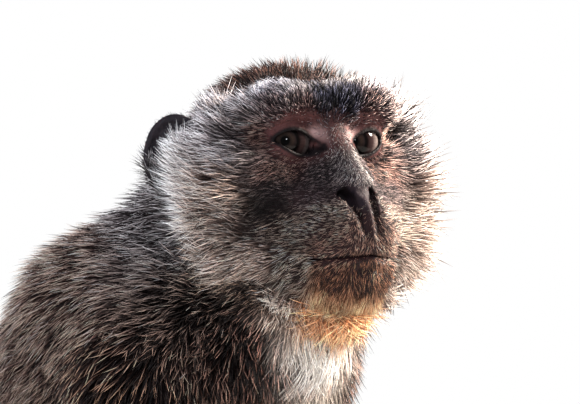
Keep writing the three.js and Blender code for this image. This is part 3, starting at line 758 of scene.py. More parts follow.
# ---- the lie of the coat ----
# How the hair is combed on one side of the head: where, which way (to the side, forward, up),
# how long in millimetres, how far it lifts off the skin in degrees, and its look.
Comb = namedtuple("Comb", "piece place way length lift look")
COMBS = [
    Comb("brow", (0, 12, 18), (0, -0.1, 1), 7.5, 56, "brow"),
    Comb("brow", (8, 11, 18.5), (0.2, -0.1, 1), 7, 50, "brow"),
    Comb("brow", (17, 9, 16.5), (0.5, -0.1, 0.9), 5.5, 40, "eyeside"),
    Comb("brow", (26, 4, 15), (0.9, -0.2, 0.7), 6, 38, "eyeside"),
    Comb("forehead", (19, 6, 20), (0.5, -0.3, 1), 7, 50, "forehead"),
    Comb("forehead", (27, -1, 18.5), (0.9, -0.3, 0.8), 10, 46, "forehead"),
    Comb("brow", (33, -5, 14), (1, -0.3, 0.7), 17, 50, "temple"),
    Comb("forehead", (0, 7, 23), (0, -0.5, 1), 6.5, 50, "nape"),
    Comb("forehead", (14, 5, 23), (0.35, -0.5, 1), 7, 48, "nape"),
    Comb("forehead", (25, -3, 21), (0.8, -0.4, 0.8), 11, 48, "forehead"),
    Comb("forehead", (0, -5, 27), (0, -0.8, 0.8), 9, 44, "crown"),
    Comb("forehead", (18, -9, 25), (0.6, -0.6, 0.8), 12, 44, "crown"),
    Comb("forehead", (29, -14, 19), (0.9, -0.6, 0.5), 15, 42, "temple"),
    Comb("crown", (0, -16, 28), (0, -1, 0.4), 12, 46, "crown"),
    Comb("crown", (0, -34, 29), (0, -1, 0.2), 16, 50, "crown"),
    Comb("crown", (20, -30, 24), (0.6, -1, 0.5), 19, 54, "crown"),
    Comb("crown", (0, -62, 22), (0, -1, -0.1), 17, 48, "crown"),
    Comb("crown", (24, -58, 14), (0.5, -0.8, 0.3), 16, 46, "crown"),
    Comb("temple", (37, -14, 8), (1, -0.3, 0.6), 26, 54, "temple"),
    Comb("temple", (38, -22, 0), (0.9, -0.5, 0.5), 23, 50, "temple"),
    Comb("temple", (33, -38, 10), (0.7, -0.8, 0.5), 13, 38, "ruff"),
    Comb("temple", (38, -38, 2), (0.8, -0.8, 0.4), 11, 36, "ruff"),
    Comb("temple", (39, -37, -8), (0.9, -0.7, 0.4), 15, 42, "ruff"),
    Comb("face", (32, -1, 3), (1, -0.4, 0.2), 5, 28, "eyeside"),
    Comb("face", (18, 6, -15), (0.6, -0.3, -0.7), 2.6, 22, "eyeside"),
    Comb("face", (29, 1, -14), (0.8, -0.4, -0.4), 4.5, 24, "eyeside"),
    # The patch combs lie on the hollow under the cheekbone: dark hair, painted near-black as painted shade.
    Comb("face", (29, 3, -28), (0.8, -0.5, -0.5), 5, 22, "patch"),
    Comb("face", (29.5, 3.5, -31), (0.8, -0.5, -0.5), 5, 22, "patch"),
    Comb("face", (27, 6, -25), (0.8, -0.6, -0.3), 4, 24, "nose"),
    Comb("face", (24, 10, -34), (0.8, -0.6, 0), 5, 24, "muzzle"),
    Comb("face", (28, 7, -34), (0.8, -0.5, -0.5), 5, 22, "patch"),
    Comb("face", (26.5, 9, -29.5), (0.8, -0.6, -0.3), 4, 20, "patch"),
    Comb("cheek", (37, -4, -31), (1, -0.3, -0.1), 16, 42, "cheek"),
    Comb("cheek", (37, -5, -8), (1, -0.2, 0.2), 24, 54, "temple"),
    Comb("cheek", (42, -9, -22), (1, -0.2, 0.05), 29, 54, "cheek"),
    Comb("cheek", (43, -12, -36), (1, -0.25, -0.1), 28, 56, "cheek"),
    Comb("cheek", (39, -8, -50), (1, -0.3, -0.2), 24, 50, "cheek"),
    Comb("ruff", (46, -24, -18), (1, -0.5, 0.5), 30, 54, "ruff"),
    Comb("ruff", (43, -38, -18), (0.9, -0.7, 0.5), 27, 54, "ruff"),
    Comb("ruff", (44, -28, -38), (1, -0.5, 0.4), 35, 56, "ruff"),
    Comb("ruff", (38, -24, -58), (1, -0.4, -0.2), 30, 50, "ruff_low"),
    Comb("ruff", (29, -4, -64), (0.8, -0.4, -0.7), 22, 42, "ruff_low"),
    Comb("ruff", (43, -50, -18), (0.6, -0.9, 0.5), 24, 44, "nape"),
    Comb("throat", (26, -16, -86), (0.7, -0.3, -1), 24, 34, "chest"),
    Comb("throat", (0, -6, -88), (0, 0.2, -1), 26, 34, "throat"),
    Comb("beard", (0, 20, -81), (0, 0.25, -1), 17, 40, "beard"),
    Comb("beard", (12, 15, -79), (0.4, 0.1, -1), 17, 38, "beard"),
    Comb("beard", (22, 6, -71), (0.9, -0.1, -0.9), 16, 40, "cheek"),
    Comb("face", (0, 37, -66), (0, 0.2, -1), 4.5, 30, "chin"),
    Comb("face", (0, 33, -73), (0, 0.2, -1), 8, 34, "beard"),
    Comb("face", (13, 30, -64), (0.5, 0, -1), 4.5, 30, "chin"),
    Comb("face", (14, 26, -72), (0.5, 0, -1), 8, 34, "beard"),
    Comb("face", (22, 16, -59), (0.8, -0.5, -0.6), 6.5, 30, "muzzle"),
    Comb("face", (0, 41, -59), (0.1, 0.2, -1), 4, 28, "chin"),
    Comb("face", (0, 44, -43), (0.2, 0.1, -1), 3.2, 24, "lip"),
    Comb("face", (16, 36, -46), (0.8, -0.4, -0.3), 3.4, 22, "lip"),
    Comb("face", (17, 31, -36), (0.8, -0.6, 0), 4.2, 24, "muzzle"),
    Comb("face", (25, 18, -42), (0.6, -0.9, 0), 6, 26, "muzzle"),
    Comb("face", (29, 6, -38), (0.6, -0.9, 0), 8.5, 28, "muzzle"),
    Comb("cheek", (31, 2, -52), (0.8, -0.7, -0.2), 13, 34, "cheek"),
    Comb("face", (0, 16, -2), (0.3, 0.3, -1), 2.4, 18, "bridge"),
    Comb("face", (0, 28, -10), (0.3, 0.3, -1), 2.2, 16, "bridge"),
    Comb("face", (10, 16, -15), (0.8, -0.4, -0.4), 2.4, 20, "nose"),
    Comb("face", (13, 22, -26), (0.8, -0.5, -0.2), 3, 20, "nose"),
    Comb("face", (17, 18, -24), (0.8, -0.5, -0.2), 3, 20, "nose"),
    Comb("nape", (0, -80, -6), (0, -0.8, -0.6), 26, 44, "nape"),
    Comb("nape", (0, -86, -34), (0, -0.9, -0.5), 31, 46, "nape"),
    Comb("nape", (26, -74, -28), (0.5, -0.9, -0.4), 31, 48, "nape"),
    Comb("nape", (34, -62, -50), (0.6, -0.7, -0.4), 29, 44, "nape"),
]
COMB_PLACES = np.array([comb.place for comb in COMBS], float)
COMB_NUMBERS = np.array([[*unit(np.array(comb.way, float)), comb.length, comb.lift] for comb in COMBS])
COMB_PAINTED_SHADE = np.array([comb.look == "patch" for comb in COMBS])
COMB_BLUR, COMB_GRIP = 8, 2.4  # how softly one comb gives way to the next
# The plane where the head's coat gives way to the trunk's, in the head's frame.
NECK_NORMAL = np.array([0, 0.667, 0.747])
NECK_PLACE = np.array([0, -50, -65.0])

# Everything a root of the coat needs: which way, length, lift, root, middle and tip colours, and
# the share of pale tufts.
WAY, LENGTH, LIFT, ROOT, MIDDLE, TIP, PALE = (
    slice(0, 3), 3, 4, slice(5, 8), slice(8, 11), slice(11, 14), 14,
)
TONES = slice(5, 15)  # root to pale


def look_row(look, colours):
    tones = [linear(getattr(colours, f"{look}_{place}")) for place in ("root", "middle", "tip")]
    return np.concatenate([*tones, [LOOKS[look].pale]])


def one_side(h):
    """Places of the head with those of its right side mirrored to the left."""
    q = h.copy()
    q[:, 0] = np.abs(q[:, 0])
    return q


def comb_apart(h):
    """The squared distance from each place to each comb."""
    return ((one_side(h)[:, None, :] - COMB_PLACES) ** 2).sum(2)


def head_coat(h, colours):
    """Rows of coat numbers for places h in the head's frame, with ways in the body's frame."""
    weight = 1 / (comb_apart(h) + COMB_BLUR) ** COMB_GRIP
    # The dark patch is kept to the right cheek: painted shade of the hollow there, on the shaded side of the
    # face.
    weight[:, COMB_PAINTED_SHADE] *= h[:, :1] < 0
    weight /= weight.sum(1, keepdims=True)
    table = np.concatenate([COMB_NUMBERS, [look_row(comb.look, colours) for comb in COMBS]], 1)
    rows = weight @ table
    rows[:, 0] *= np.where(h[:, 0] < 0, -1.0, 1.0)
    # The long hair lies closer on the right side than on the left.
    left = ease(h[:, 0], -12, 12)
    rows[:, LENGTH] *= 0.78 + 0.32 * left
    rows[:, LIFT] *= 0.84 + 0.2 * left
    rows[:, WAY] = rows[:, WAY] @ HEAD_AXES
    return rows


BONES = TRUNK + LIMBS["left"] + LIMBS["right"]
BODY_LIFT = 30
PAW_ROOTS = {"hand": 132, "foot": 20}  # how far forward the paws' hair starts


def body_coat(p, normals, colours):
    """Rows of coat numbers for places p on the trunk and limbs."""
    apart = np.stack([rod(p, bone.start, bone.end, *bone.radii) for bone in BONES], 1)
    weight = np.exp(-(apart - apart.min(1, keepdims=True)) / 5)
    weight /= weight.sum(1, keepdims=True)
    table = np.array([
        [*unit(np.asarray(bone.lie, float)), bone.hair, BODY_LIFT, *look_row(bone.look, colours)]
        for bone in BONES
    ])
    rows = weight @ table
    # Short at the wrists and ankles, and where the animal sits.
    low = ease(p[:, 2], 16, 75)
    is_limb = weight[:, len(TRUNK):].sum(1)
    rows[:, LENGTH] *= 1 - 0.55 * (1 - low) * is_limb
    rows[:, LENGTH] *= 1 - 0.7 * fall(p[:, 2], 4, 26) * (1 - is_limb)
    # The underside, and the inner sides of the limbs, are pale.
    front = ease(normals @ unit(at(0, 0.85, -0.35)), 0.35, 0.85) * (1 - is_limb)
    front = front * fall(np.abs(p[:, 0]) - 0.12 * np.maximum(250 - p[:, 2], 0), 16, 36)
    inner = ease(-normals[:, 0] * np.sign(p[:, 0]), 0.25, 0.8) * is_limb * 0.8
    pale = np.maximum(front, inner)[:, None]
    rows[:, TONES] = rows[:, TONES] * (1 - pale) + look_row("belly", colours) * pale
    return rows


def tail_coat(p, normals, colours):
    nearest = ((p[:, None, :] - TAIL) ** 2).sum(2).argmin(1)
    way = unit(np.gradient(TAIL, axis=0))[nearest]
    share = TAIL_SHARE[nearest]
    numbers = np.stack([12 - 5 * share, np.full(len(p), 26.0)], 1)
    under = ease(-normals[:, 2], 0, 0.7)[:, None]
    tones = look_row("tail", colours) * (1 - under) + look_row("limb", colours) * under
    return np.concatenate([way, numbers, tones], 1)


def paw_coat(p, root, colours):
    way = unit(np.array([0, -1.0, -0.25]))
    run = ease(-p[:, 1] - root, 0, 70)
    numbers = np.stack([8 - 4.5 * run, np.full(len(p), 20.0)], 1)
    tones = np.tile(look_row("hand", colours), (len(p), 1))
    return np.concatenate([np.tile(way, (len(p), 1)), numbers, tones], 1)


def ear_coat(p, colours):
    h = into_head(p)
    way = np.tile(unit(np.array([0.5, -0.6, 0.7])), (len(p), 1))
    way[:, 0] *= np.sign(h[:, 0])
    low = fall(h[:, 2:] - EAR_MIDDLE[2], -4, 8)
    numbers = np.concatenate([4.5 + 5 * low, 26 + 12 * low], 1)
    tones = look_row("nape", colours) * low + look_row("ear", colours) * (1 - low)
    return np.concatenate([way @ HEAD_AXES, numbers, tones], 1)


REGION_NAMES = [region.name for region in regions()]


def coat_rows(p, normals, label, colours):
    """Coat numbers for places on the skin, by the region that each lies on."""
    rows = np.empty((len(p), PALE + 1))
    h = into_head(p)
    named = np.array(REGION_NAMES)[label]
    on_ear = np.char.startswith(named, "ear")
    trunk = (named == "body") | (named == "head")
    if trunk.any():
        ahead = (h[trunk] - NECK_PLACE) @ NECK_NORMAL
        share = ease(ahead, -20, 16)[:, None]
        below = body_coat(p[trunk], normals[trunk], colours)
        rows[trunk] = head_coat(h[trunk], colours) * share + below * (1 - share)
    tail = named == "tail"
    if tail.any():
        rows[tail] = tail_coat(p[tail], normals[tail], colours)
    for kind, root in PAW_ROOTS.items():
        paw = np.char.startswith(named, kind)
        if paw.any():
            rows[paw] = paw_coat(p[paw], root, colours)
    if on_ear.any():
        rows[on_ear] = ear_coat(p[on_ear], colours)
    return rows


def bareness(p, normals, label):
    """1 where the skin is bare, 0 under the full coat."""
    h = into_head(p)
    x, forward, up = np.abs(h[:, 0]), h[:, 1], h[:, 2]
    named = np.array(REGION_NAMES)[label]
    bare = np.zeros(len(p))
    on_head = named == "head"
    lids = fall(np.hypot((x - EYE_SPREAD + 1) / 15.5, (up - 3) / 12), 0.72, 1.05)
    front = ease(forward, 0, 4)
    nostrils = fall(np.hypot((x - 4.5) / 7, (up + 24) / 6.5), 0.6, 1.0)
    nostrils = np.maximum(nostrils, 0.8 - 0.8 * ease(np.hypot(x / 6.5, (up + 32) / 11), 0.6, 1.05))
    lips = bump(up, mouth_height(x), 1.0) * ease(forward, 16, 24) * fall(x, 24, 28)
    between = fall(np.hypot(x / 11, (up - 5) / 12), 0.6, 1.05) * 0.6
    lids = lids * (1 - 0.14 * ease(lid_opening(x, up), 2.5, 5))
    nostrils = nostrils * ease(forward, 22, 28)
    bare[on_head] = np.maximum.reduce([lids * front, between * front, nostrils, lips])[on_head]
    for kind, root in PAW_ROOTS.items():
        paw = np.char.startswith(named, kind)
        under = fall(normals[:, 2], 0.0, 0.45)
        tips = ease(-p[:, 1] - root, 52, 88)
        bare[paw] = np.maximum(under, tips)[paw]
    on_ear = np.char.startswith(named, "ear")
    side = np.sign(h[:, :1]) * np.array([1, 0, 0]) + np.array([0, 1, 1])
    inside = ease((normals @ HEAD_AXES.T * side) @ EAR_OPEN, -0.2, 0.4)
    upper = ease(h[:, 2] - EAR_MIDDLE[2], -6, 6)
    bare[on_ear] = (np.maximum(0.5, inside) * upper)[on_ear]
    seat = fall(p[:, 2], 1.5, 5) * (named == "body")
    return np.maximum(bare, seat)


def skin_tints(p, normals, label, colours):
    """The skin's colour at each place: the roots' colour under the coat, and its own where bare."""
    h = into_head(p)
    x, forward, up = np.abs(h[:, 0]), h[:, 1], h[:, 2]
    named = np.array(REGION_NAMES)[label]
    tint = coat_rows(p, normals, label, colours)[:, ROOT] * 0.9

    def paint(tone, share):
        nonlocal tint
        share = np.clip(share, 0, 1)[:, None]
        tint = tint * (1 - share) + linear(getattr(colours, f"skin_{tone}")) * share

    face = (named == "head") * ease(forward, -8, 4)
    along = x - EYE_SPREAD
    paint("muzzle", face * ease(-up, 14, 26) * ease(forward, 4, 16) * 0.8)
    round_eye = fall(np.hypot(along / 18, (up - 3) / 15), 0.6, 1.1)
    paint("eye_skin", face * round_eye)
    paint("pale_lid", face * bump(along, -8.5, 3) * bump(up, 4.4, 2.4) * 1.1)
    paint("eye_skin", face * bump(x, 0, 9) * bump(up, 7, 9) * 0.7)
    paint("pale_lid", face * bump(x, 6.5, 2) * bump(up, 3, 4) * 0.3)
    rim = np.maximum(lid_opening(x, up), 0)
    paint("eye_rim", face * ease(forward, 2, 5) * fall(rim, 0.9, 2.1))
    paint("eye_skin", face * bump(along, -7.6, 1.5) * bump(up, -1.4, 1.3) * 0.9)
    hole = np.hypot((x - 6.6 + 0.18 * (-23.5 - up)) / 3.2, (up + 24) / 4.4)
    paint("nose", face * fall(np.hypot(x / 13, (up + 20) / 15), 0.5, 1.05) * ease(forward, 16, 26))
    # Painted shade inside each nostril's hole.
    paint("eye_rim", face * fall(hole, 0.7, 1.1) * ease(forward, 22, 26))
    # Painted shade in the grooves on each side of the septum.
    hollow = bump(x, 4.4, 1.9) * ease(up, -43, -36) * fall(up, -27, -23) * ease(forward, 28, 33)
    paint("eye_rim", face * hollow * 0.6)
    paint("lip", face * bump(up, mouth_height(x), 4.5) * ease(forward, 14, 22))
    # Painted shade along the mouth's line, between the lips.
    line = bump(up, mouth_height(x), 0.7) * ease(forward, 16, 24) * fall(x, 23, 26)
    paint("eye_rim", face * line * 0.9)
    paint("ear", np.char.startswith(named, "ear") * 0.9)
    paw = np.char.startswith(named, "hand") | np.char.startswith(named, "foot")
    paint("hand", paw * 0.9)
    paint("seat", (named == "body") * fall(p[:, 2], 2, 9) * ease(p[:, 1], -30, 0))
    return tint


# ---- laying the coat ----
WAVES = 7


def drift(p, rng, size, count=3):
    """Smooth random numbers over space, about 1 in size, that change over the given distance."""
    out = np.zeros((len(p), count))
    for _ in range(WAVES):
        pull = rng.normal(size=(3, count)) / size
        out += np.sin(p @ pull * 2.4 + rng.uniform(0, 2 * np.pi, count))
    return out / math.sqrt(WAVES / 2)


Surface = namedtuple("Surface", "corners corner_normals areas centres normals label rows bare")


def read_surface(skin, colours):
    """The skin's triangles, with the coat's numbers at the middle of each."""
    mesh = skin.data
    count = len(mesh.polygons)
    places = from_row(read_vectors(mesh.vertices, "co"))
    normals = read_vectors(mesh.vertex_normals, "vector")
    index = np.empty(count * 3, int)
    mesh.polygons.foreach_get("vertices", index)
    index = index.reshape(-1, 3)
    label = np.empty(len(mesh.vertices), int)
    mesh.attributes["region"].data.foreach_get("value", label)
    corners, corner_normals = places[index], normals[index]
    areas = np.linalg.norm(np.cross(corners[:, 1] - corners[:, 0], corners[:, 2] - corners[:, 0]), axis=1) / 2
    centres, middle_normals = corners.mean(1), unit(corner_normals.mean(1))
    label = label[index[:, 0]]
    rows = coat_rows(centres, middle_normals, label, colours)
    bare = bareness(centres, middle_normals, label)
    return Surface(corners, corner_normals, areas, centres, middle_normals, label, rows, bare)


def piece_names(surface):
    """Which piece of the coat grows on each triangle."""
    named = np.array(REGION_NAMES)[surface.label].astype("U24")
    h = into_head(surface.centres)
    combs = np.array([comb.piece for comb in COMBS])[comb_apart(h).argmin(1)]
    side = np.where(h[:, 0] < 0, "_right", "_left")
    on_head = (named == "head") & ((h - NECK_PLACE) @ NECK_NORMAL > -4)
    sided = np.isin(combs, ["ruff", "cheek", "temple"])
    head_names = np.where(sided, np.char.add(combs, side), combs)
    field = np.stack([rod(surface.centres, b.start, b.end, *b.radii) for b in BONES], 1).argmin(1)
    parts = np.array([bone.part for bone in BONES])[field]
    halves = np.where(surface.centres[:, 0] < 0, "chest_right", "chest_left")
    parts = np.where(parts == "chest", halves, parts)
    trunk = (named == "body") | (named == "head")
    out = np.where(trunk, np.where(on_head, head_names, parts), named)
    return np.where(np.char.startswith(out, "ear"), "ears", out)


def strand_width(length):
    return 0.26 + 0.013 * length


Tuft = namedtuple("Tuft", "cover limit steps thick")
# How thickly each piece is laid: layers of hair over the skin, most tufts per square
# millimetre, bends in a tuft, and its thickness.
PLENTY = {
    "face": Tuft(11, 3.6, 1, 1.2), "brow": Tuft(9, 2.2, 2, 1.1), "forehead": Tuft(11, 2.4, 2, 1.15),
    "crown": Tuft(11, 2.0, 2, 1.1), "temple": Tuft(13, 2.4, 2, 1.05), "cheek": Tuft(13, 2.4, 2, 1.05),
    "ruff": Tuft(12, 1.8, 3, 1.0), "throat": Tuft(10, 1.4, 3, 1.0), "beard": Tuft(10, 1.7, 3, 1.0),
    "nape": Tuft(11, 1.4, 3, 1.0), "neck": Tuft(11, 1.2, 2, 1.0), "chest": Tuft(10, 1.2, 2, 0.9),
    "belly": Tuft(8, 0.8, 1, 1.8), "pelvis": Tuft(8, 0.8, 1, 1.8), "arm": Tuft(7, 0.7, 2, 1.5),
    "leg": Tuft(6, 0.8, 1, 1.7), "tail": Tuft(6, 0.8, 1, 1.6), "hand": Tuft(3, 0.9, 1, 1.3),
    "foot": Tuft(3, 0.9, 1, 1.3), "ears": Tuft(5, 1.0, 1, 1.1),
}
# The most triangles for a piece of the coat, so that the whole coat keeps to its share.
MOST = {"chest": 160000, "arm": 80000, "leg": 60000, "belly": 80000, "pelvis": 80000, "tail": 36000}
MOST_ELSE = 180000
PIECE_LIMIT = 200000


def scatter(surface, chosen, plenty, most, rng):
    """Roots over the chosen triangles, evenly by their share of tufts, up to the most tufts."""
    length = surface.rows[chosen, LENGTH]
    width = strand_width(length) * plenty.thick
    share = np.minimum(plenty.cover / (length * width), plenty.limit) * (1 - surface.bare[chosen])
    want = np.concatenate([[0], np.cumsum(surface.areas[chosen] * share)])
    count = min(int(want[-1]), most)
    spots = (np.arange(count) + rng.uniform(0, 1, count)) * want[-1] / max(count, 1)
    return chosen[np.clip(np.searchsorted(want, spots) - 1, 0, len(chosen) - 1)]


UV_PATCH = 0.003  # a tuft's share of its map, along each side


def strand_mesh(name, rings, tip, tones, uv):
    """Joined tapering tufts. rings: tufts, steps, 3 corners, xyz. tip: tufts, xyz."""
    count, steps = rings.shape[:2]
    size = steps * 3 + 1
    verts = np.concatenate([rings.reshape(count, -1, 3), tip[:, None]], 1)
    faces = [(0, 2, 1)]
    for step in range(steps - 1):
        for corner in range(3):
            a, b = step * 3 + corner, step * 3 + (corner + 1) % 3
            faces += [(a, b, b + 3), (a, b + 3, a + 3)]
    last = (steps - 1) * 3
    faces += [(last + corner, last + (corner + 1) % 3, size - 1) for corner in range(3)]
    faces = np.array(faces)
    index = (faces[None] + np.arange(count)[:, None, None] * size).reshape(-1)
    mesh = bpy.data.meshes.new(name)
    mesh.vertices.add(count * size)
    mesh.vertices.foreach_set("co", to_row(verts.reshape(-1, 3)).astype(np.float32).ravel())
    mesh.loops.add(len(index))
    mesh.loops.foreach_set("vertex_index", index.astype(np.int32))
    mesh.polygons.add(len(index) // 3)
    mesh.polygons.foreach_set("loop_start", np.arange(0, len(index), 3, dtype=np.int32))
    shade_smooth(mesh)
    mesh.update(calc_edges=True)
    colour_vertices(mesh, "hair", tones.reshape(-1, 3))
    # Each tuft has its own small patch of the map, at its root's place.
    share = np.arange(size) // 3 / steps
    turn = np.arange(size) % 3 / 2
    patch = np.stack([turn, share], 1) * UV_PATCH
    layer = mesh.uv_layers.new(name=BAKE_MAP)
    spots = (uv[:, None] * (1 - UV_PATCH) + patch[None]).reshape(-1, 2)
    layer.data.foreach_set("uv", spots[index].astype(np.float32).ravel())
    return put(name, mesh)


def unwrap(places):
    """Places round the piece's own long axis, and along it, as shares of a square."""
    centre = places.mean(0)
    axes = np.linalg.svd(places - centre, full_matrices=False)[2]
    d = (places - centre) @ axes.T
    turn = np.arctan2(d[:, 2], d[:, 1]) / (2 * np.pi) + 0.5
    run = (d[:, 0] - d[:, 0].min()) / max(np.ptp(d[:, 0]), 1e-6)
    return np.stack([turn, run], 1)


GROUND_RING, GROUND_TIP = 0.4, 0.5  # the lowest that a tuft's rings and tip may lie


def sweep(root, normal, along, lift, curl, length, width, stops):
    """Rings of three corners along each bending tuft, and its tip."""
    across = np.cross(normal, along)
    start, end = lift * 1.35, lift * 0.5
    centre = root - normal * np.minimum(0.5, 0.07 * length)[:, None]
    rings = np.empty((len(root), len(stops) - 1, 3, 3))
    for step, (low, high) in enumerate(zip(stops, stops[1:])):
        share = (low + high) / 2
        rise, bend = start + (end - start) * share, curl * (share - 0.25) * 1.6
        level = along * np.cos(bend)[:, None] + across * np.sin(bend)[:, None]
        ahead = level * np.cos(rise)[:, None] + normal * np.sin(rise)[:, None]
        side = unit(np.cross(ahead, normal))
        over = np.cross(side, ahead)
        thick = width / 2 * (1 - 0.4 * low ** 1.5)
        for corner in range(3):
            angle = math.pi / 2 + corner * 2 * math.pi / 3
            spoke = side * math.cos(angle) + over * math.sin(angle) * 0.8
            rings[:, step, corner] = centre + spoke * thick[:, None]
        centre = centre + ahead * (length * (high - low))[:, None]
    rings[..., 2] = np.maximum(rings[..., 2], GROUND_RING)
    centre[:, 2] = np.maximum(centre[:, 2], GROUND_TIP)
    return rings, centre


def tuft_tones(rows, root, stops, rng):
    """A colour for each vertex. Pale tufts are light to the tip, and the rest stay dark."""
    count = len(rows)
    pale = (rng.uniform(0, 1, count) < rows[:, PALE])[:, None]
    patchy = drift(root, rng, 2.6, 1) * 0.22 + drift(root, rng, 12, 1) * 0.10
    glow = np.exp(rng.normal(size=(count, 1)) * 0.25 + patchy)
    dark, middle = rows[:, ROOT], rows[:, MIDDLE]
    low_tone = dark * glow
    mid_tone = np.where(pale, middle, dark * 0.8 + middle * 0.1) * glow
    tip_tone = np.where(pale, rows[:, TIP], dark * 0.6 + middle * 0.3) * glow
    tones = np.empty((count, len(stops) * 3 - 2, 3))
    for step, share in enumerate(stops):
        first, second = ease(share, 0, 0.6), ease(share, 0.55, 0.95)
        tone = low_tone * (1 - first) + mid_tone * first
        tone = tone * (1 - second) + tip_tone * second
        tones[:, step * 3: step * 3 + 3] = tone[:, None]
    return np.clip(tones, 0, 1)


def lay_coat(name, surface, chosen, sizes, seed):
    """One piece of the coat, with its roots spread over the chosen triangles of the skin."""
    kind = name.split("_")[0]
    plenty = PLENTY[kind]
    steps = plenty.steps
    most = MOST.get(kind, MOST_ELSE) // (6 * steps - 2)
    rng = np.random.default_rng(seed)
    triangles = scatter(surface, chosen, plenty, most, rng)
    count = len(triangles)
    u, v = rng.uniform(0, 1, (2, count))
    u, v = np.where(u + v > 1, 1 - u, u), np.where(u + v > 1, 1 - v, v)
    weight = np.stack([1 - u - v, u, v], 1)[:, :, None]
    root = (surface.corners[triangles] * weight).sum(1)
    normal = unit((surface.corner_normals[triangles] * weight).sum(1))
    rows = surface.rows[triangles]
    length = rows[:, LENGTH] * sizes.coat_length * rng.uniform(0.72, 1.12, count)
    length *= 1 - 0.45 * surface.bare[triangles]
    width = strand_width(length) * plenty.thick * sizes.tuft_width
    # Neighbours lean together into locks, and each tuft strays a little of its own.
    lock = drift(root, rng, 7 + 0.25 * length.mean()) * 0.16
    stray = rng.normal(size=(count, 3)) * 0.13
    way = unit(rows[:, WAY] + lock + stray)
    along = unit(way - (way * normal).sum(1, keepdims=True) * normal)
    lift = np.radians(rows[:, LIFT] * rng.uniform(0.6, 1.4, count)) + drift(root, rng, 9, 1)[:, 0] * 0.09
    curl = rng.normal(size=count) * sizes.coat_curl + drift(root, rng, 6, 1)[:, 0] * 0.16
    stops = (np.arange(steps + 1) / steps) ** 0.7
    rings, tip = sweep(root, normal, along, lift, curl, length, width, stops)
    tones = tuft_tones(rows, root, stops, rng)
    return strand_mesh(f"coat_{name}", rings, tip, tones, unwrap(root))


# ---- materials ----

def material(name, roughness, **sockets):
    """A material and its nodes, with the numbers that are the same all over set on the shader."""
    made = bpy.data.materials.new(name)
    made.use_nodes = True
    shader = made.node_tree.nodes["Principled BSDF"]
    shader.inputs["Roughness"].default_value = roughness
    for socket, value in sockets.items():
        shader.inputs[socket.replace("_", " ")].default_value = value
    return made, made.node_tree, shader


def node(tree, kind, **settings):
    made = tree.nodes.new(kind)
    for key, value in settings.items():
        if hasattr(made, key):
            setattr(made, key, value)
        else:
            made.inputs[key.replace("_", " ")].default_value = value
    return made


def noise(tree, scale, detail=3.0, vector=None):
    made = node(tree, "ShaderNodeTexNoise", Scale=scale, Detail=detail)
    source = vector or node(tree, "ShaderNodeTexCoord").outputs["Object"]
    tree.links.new(source, made.inputs["Vector"])
    return made.outputs["Fac"]


def ranged(tree, value, low, high):
    made = node(tree, "ShaderNodeMapRange", To_Min=low, To_Max=high)
    tree.links.new(value, made.inputs["Value"])
    return made.outputs["Result"]


def multiplied(tree, colour, value):
    made = node(tree, "ShaderNodeMix", data_type="RGBA", blend_type="MULTIPLY")
    made.inputs["Factor"].default_value = 1
    tree.links.new(colour, made.inputs["A"])
    tree.links.new(value, made.inputs["B"])
    return made.outputs["Result"]


def two_tones(tree, value, low, high):
    """A colour between two, by the value."""
    made = node(tree, "ShaderNodeValToRGB")
    for element, colour in zip(made.color_ramp.elements, (low, high)):
        element.color = (*colour, 1)
    tree.links.new(value, made.inputs["Fac"])
    return made.outputs["Color"]


def bumped(tree, shader, height, strength, distance):
    made = node(tree, "ShaderNodeBump", Strength=strength, Distance=distance)
    tree.links.new(height, made.inputs["Height"])
    tree.links.new(made.outputs["Normal"], shader.inputs["Normal"])


def added(tree, first, second, share):
    made = node(tree, "ShaderNodeMath", operation="MULTIPLY_ADD")
    tree.links.new(second, made.inputs[0])
    made.inputs[1].default_value = share
    tree.links.new(first, made.inputs[2])
    return made.outputs[0]


def hair_material(name):
    made, tree, shader = material(name, 0.4, Specular_IOR_Level=0.3)
    tone = node(tree, "ShaderNodeAttribute", attribute_name="hair").outputs["Color"]
    fleck = ranged(tree, noise(tree, 260, 2), 0.72, 1.28)
    tree.links.new(multiplied(tree, tone, fleck), shader.inputs["Base Color"])
    tree.links.new(ranged(tree, noise(tree, 90), 0.3, 0.5), shader.inputs["Roughness"])
    return made


def skin_material():
    made, tree, shader = material(
        "skin", 0.5, Specular_IOR_Level=0.12, Subsurface_Weight=0.06, Subsurface_Scale=0.004,
    )
    tone = node(tree, "ShaderNodeAttribute", attribute_name="tint").outputs["Color"]
    mottle = ranged(tree, noise(tree, 260, 6), 0.45, 1.5)
    tree.links.new(multiplied(tree, tone, mottle), shader.inputs["Base Color"])
    tree.links.new(ranged(tree, noise(tree, 420), 0.46, 0.72), shader.inputs["Roughness"])
    pores = node(tree, "ShaderNodeTexVoronoi", Scale=1500.0)
    tree.links.new(node(tree, "ShaderNodeTexCoord").outputs["Object"], pores.inputs["Vector"])
    height = added(tree, noise(tree, 420, 6), pores.outputs["Distance"], 0.14)
    bumped(tree, shader, height, 0.7, 0.0008)
    return made


# Pupil, iris with its dark edge, and the white of the eye, from the middle outwards.
# The white is brownish of its own; it and the iris are painted darker still, as painted shade of the near
# eye.
EYE_RINGS = [
    (0.0, (0.001, 0.001, 0.001)), (0.20, (0.001, 0.001, 0.001)), (0.23, (0.010, 0.007, 0.006)),
    (0.34, (0.017, 0.011, 0.009)), (0.46, (0.009, 0.006, 0.006)), (0.53, (0.001, 0.001, 0.001)),
    (0.62, (0.002, 0.001, 0.001)), (0.70, (0.012, 0.007, 0.007)), (0.84, (0.022, 0.013, 0.013)),
    (1.0, (0.12, 0.095, 0.09)),
]


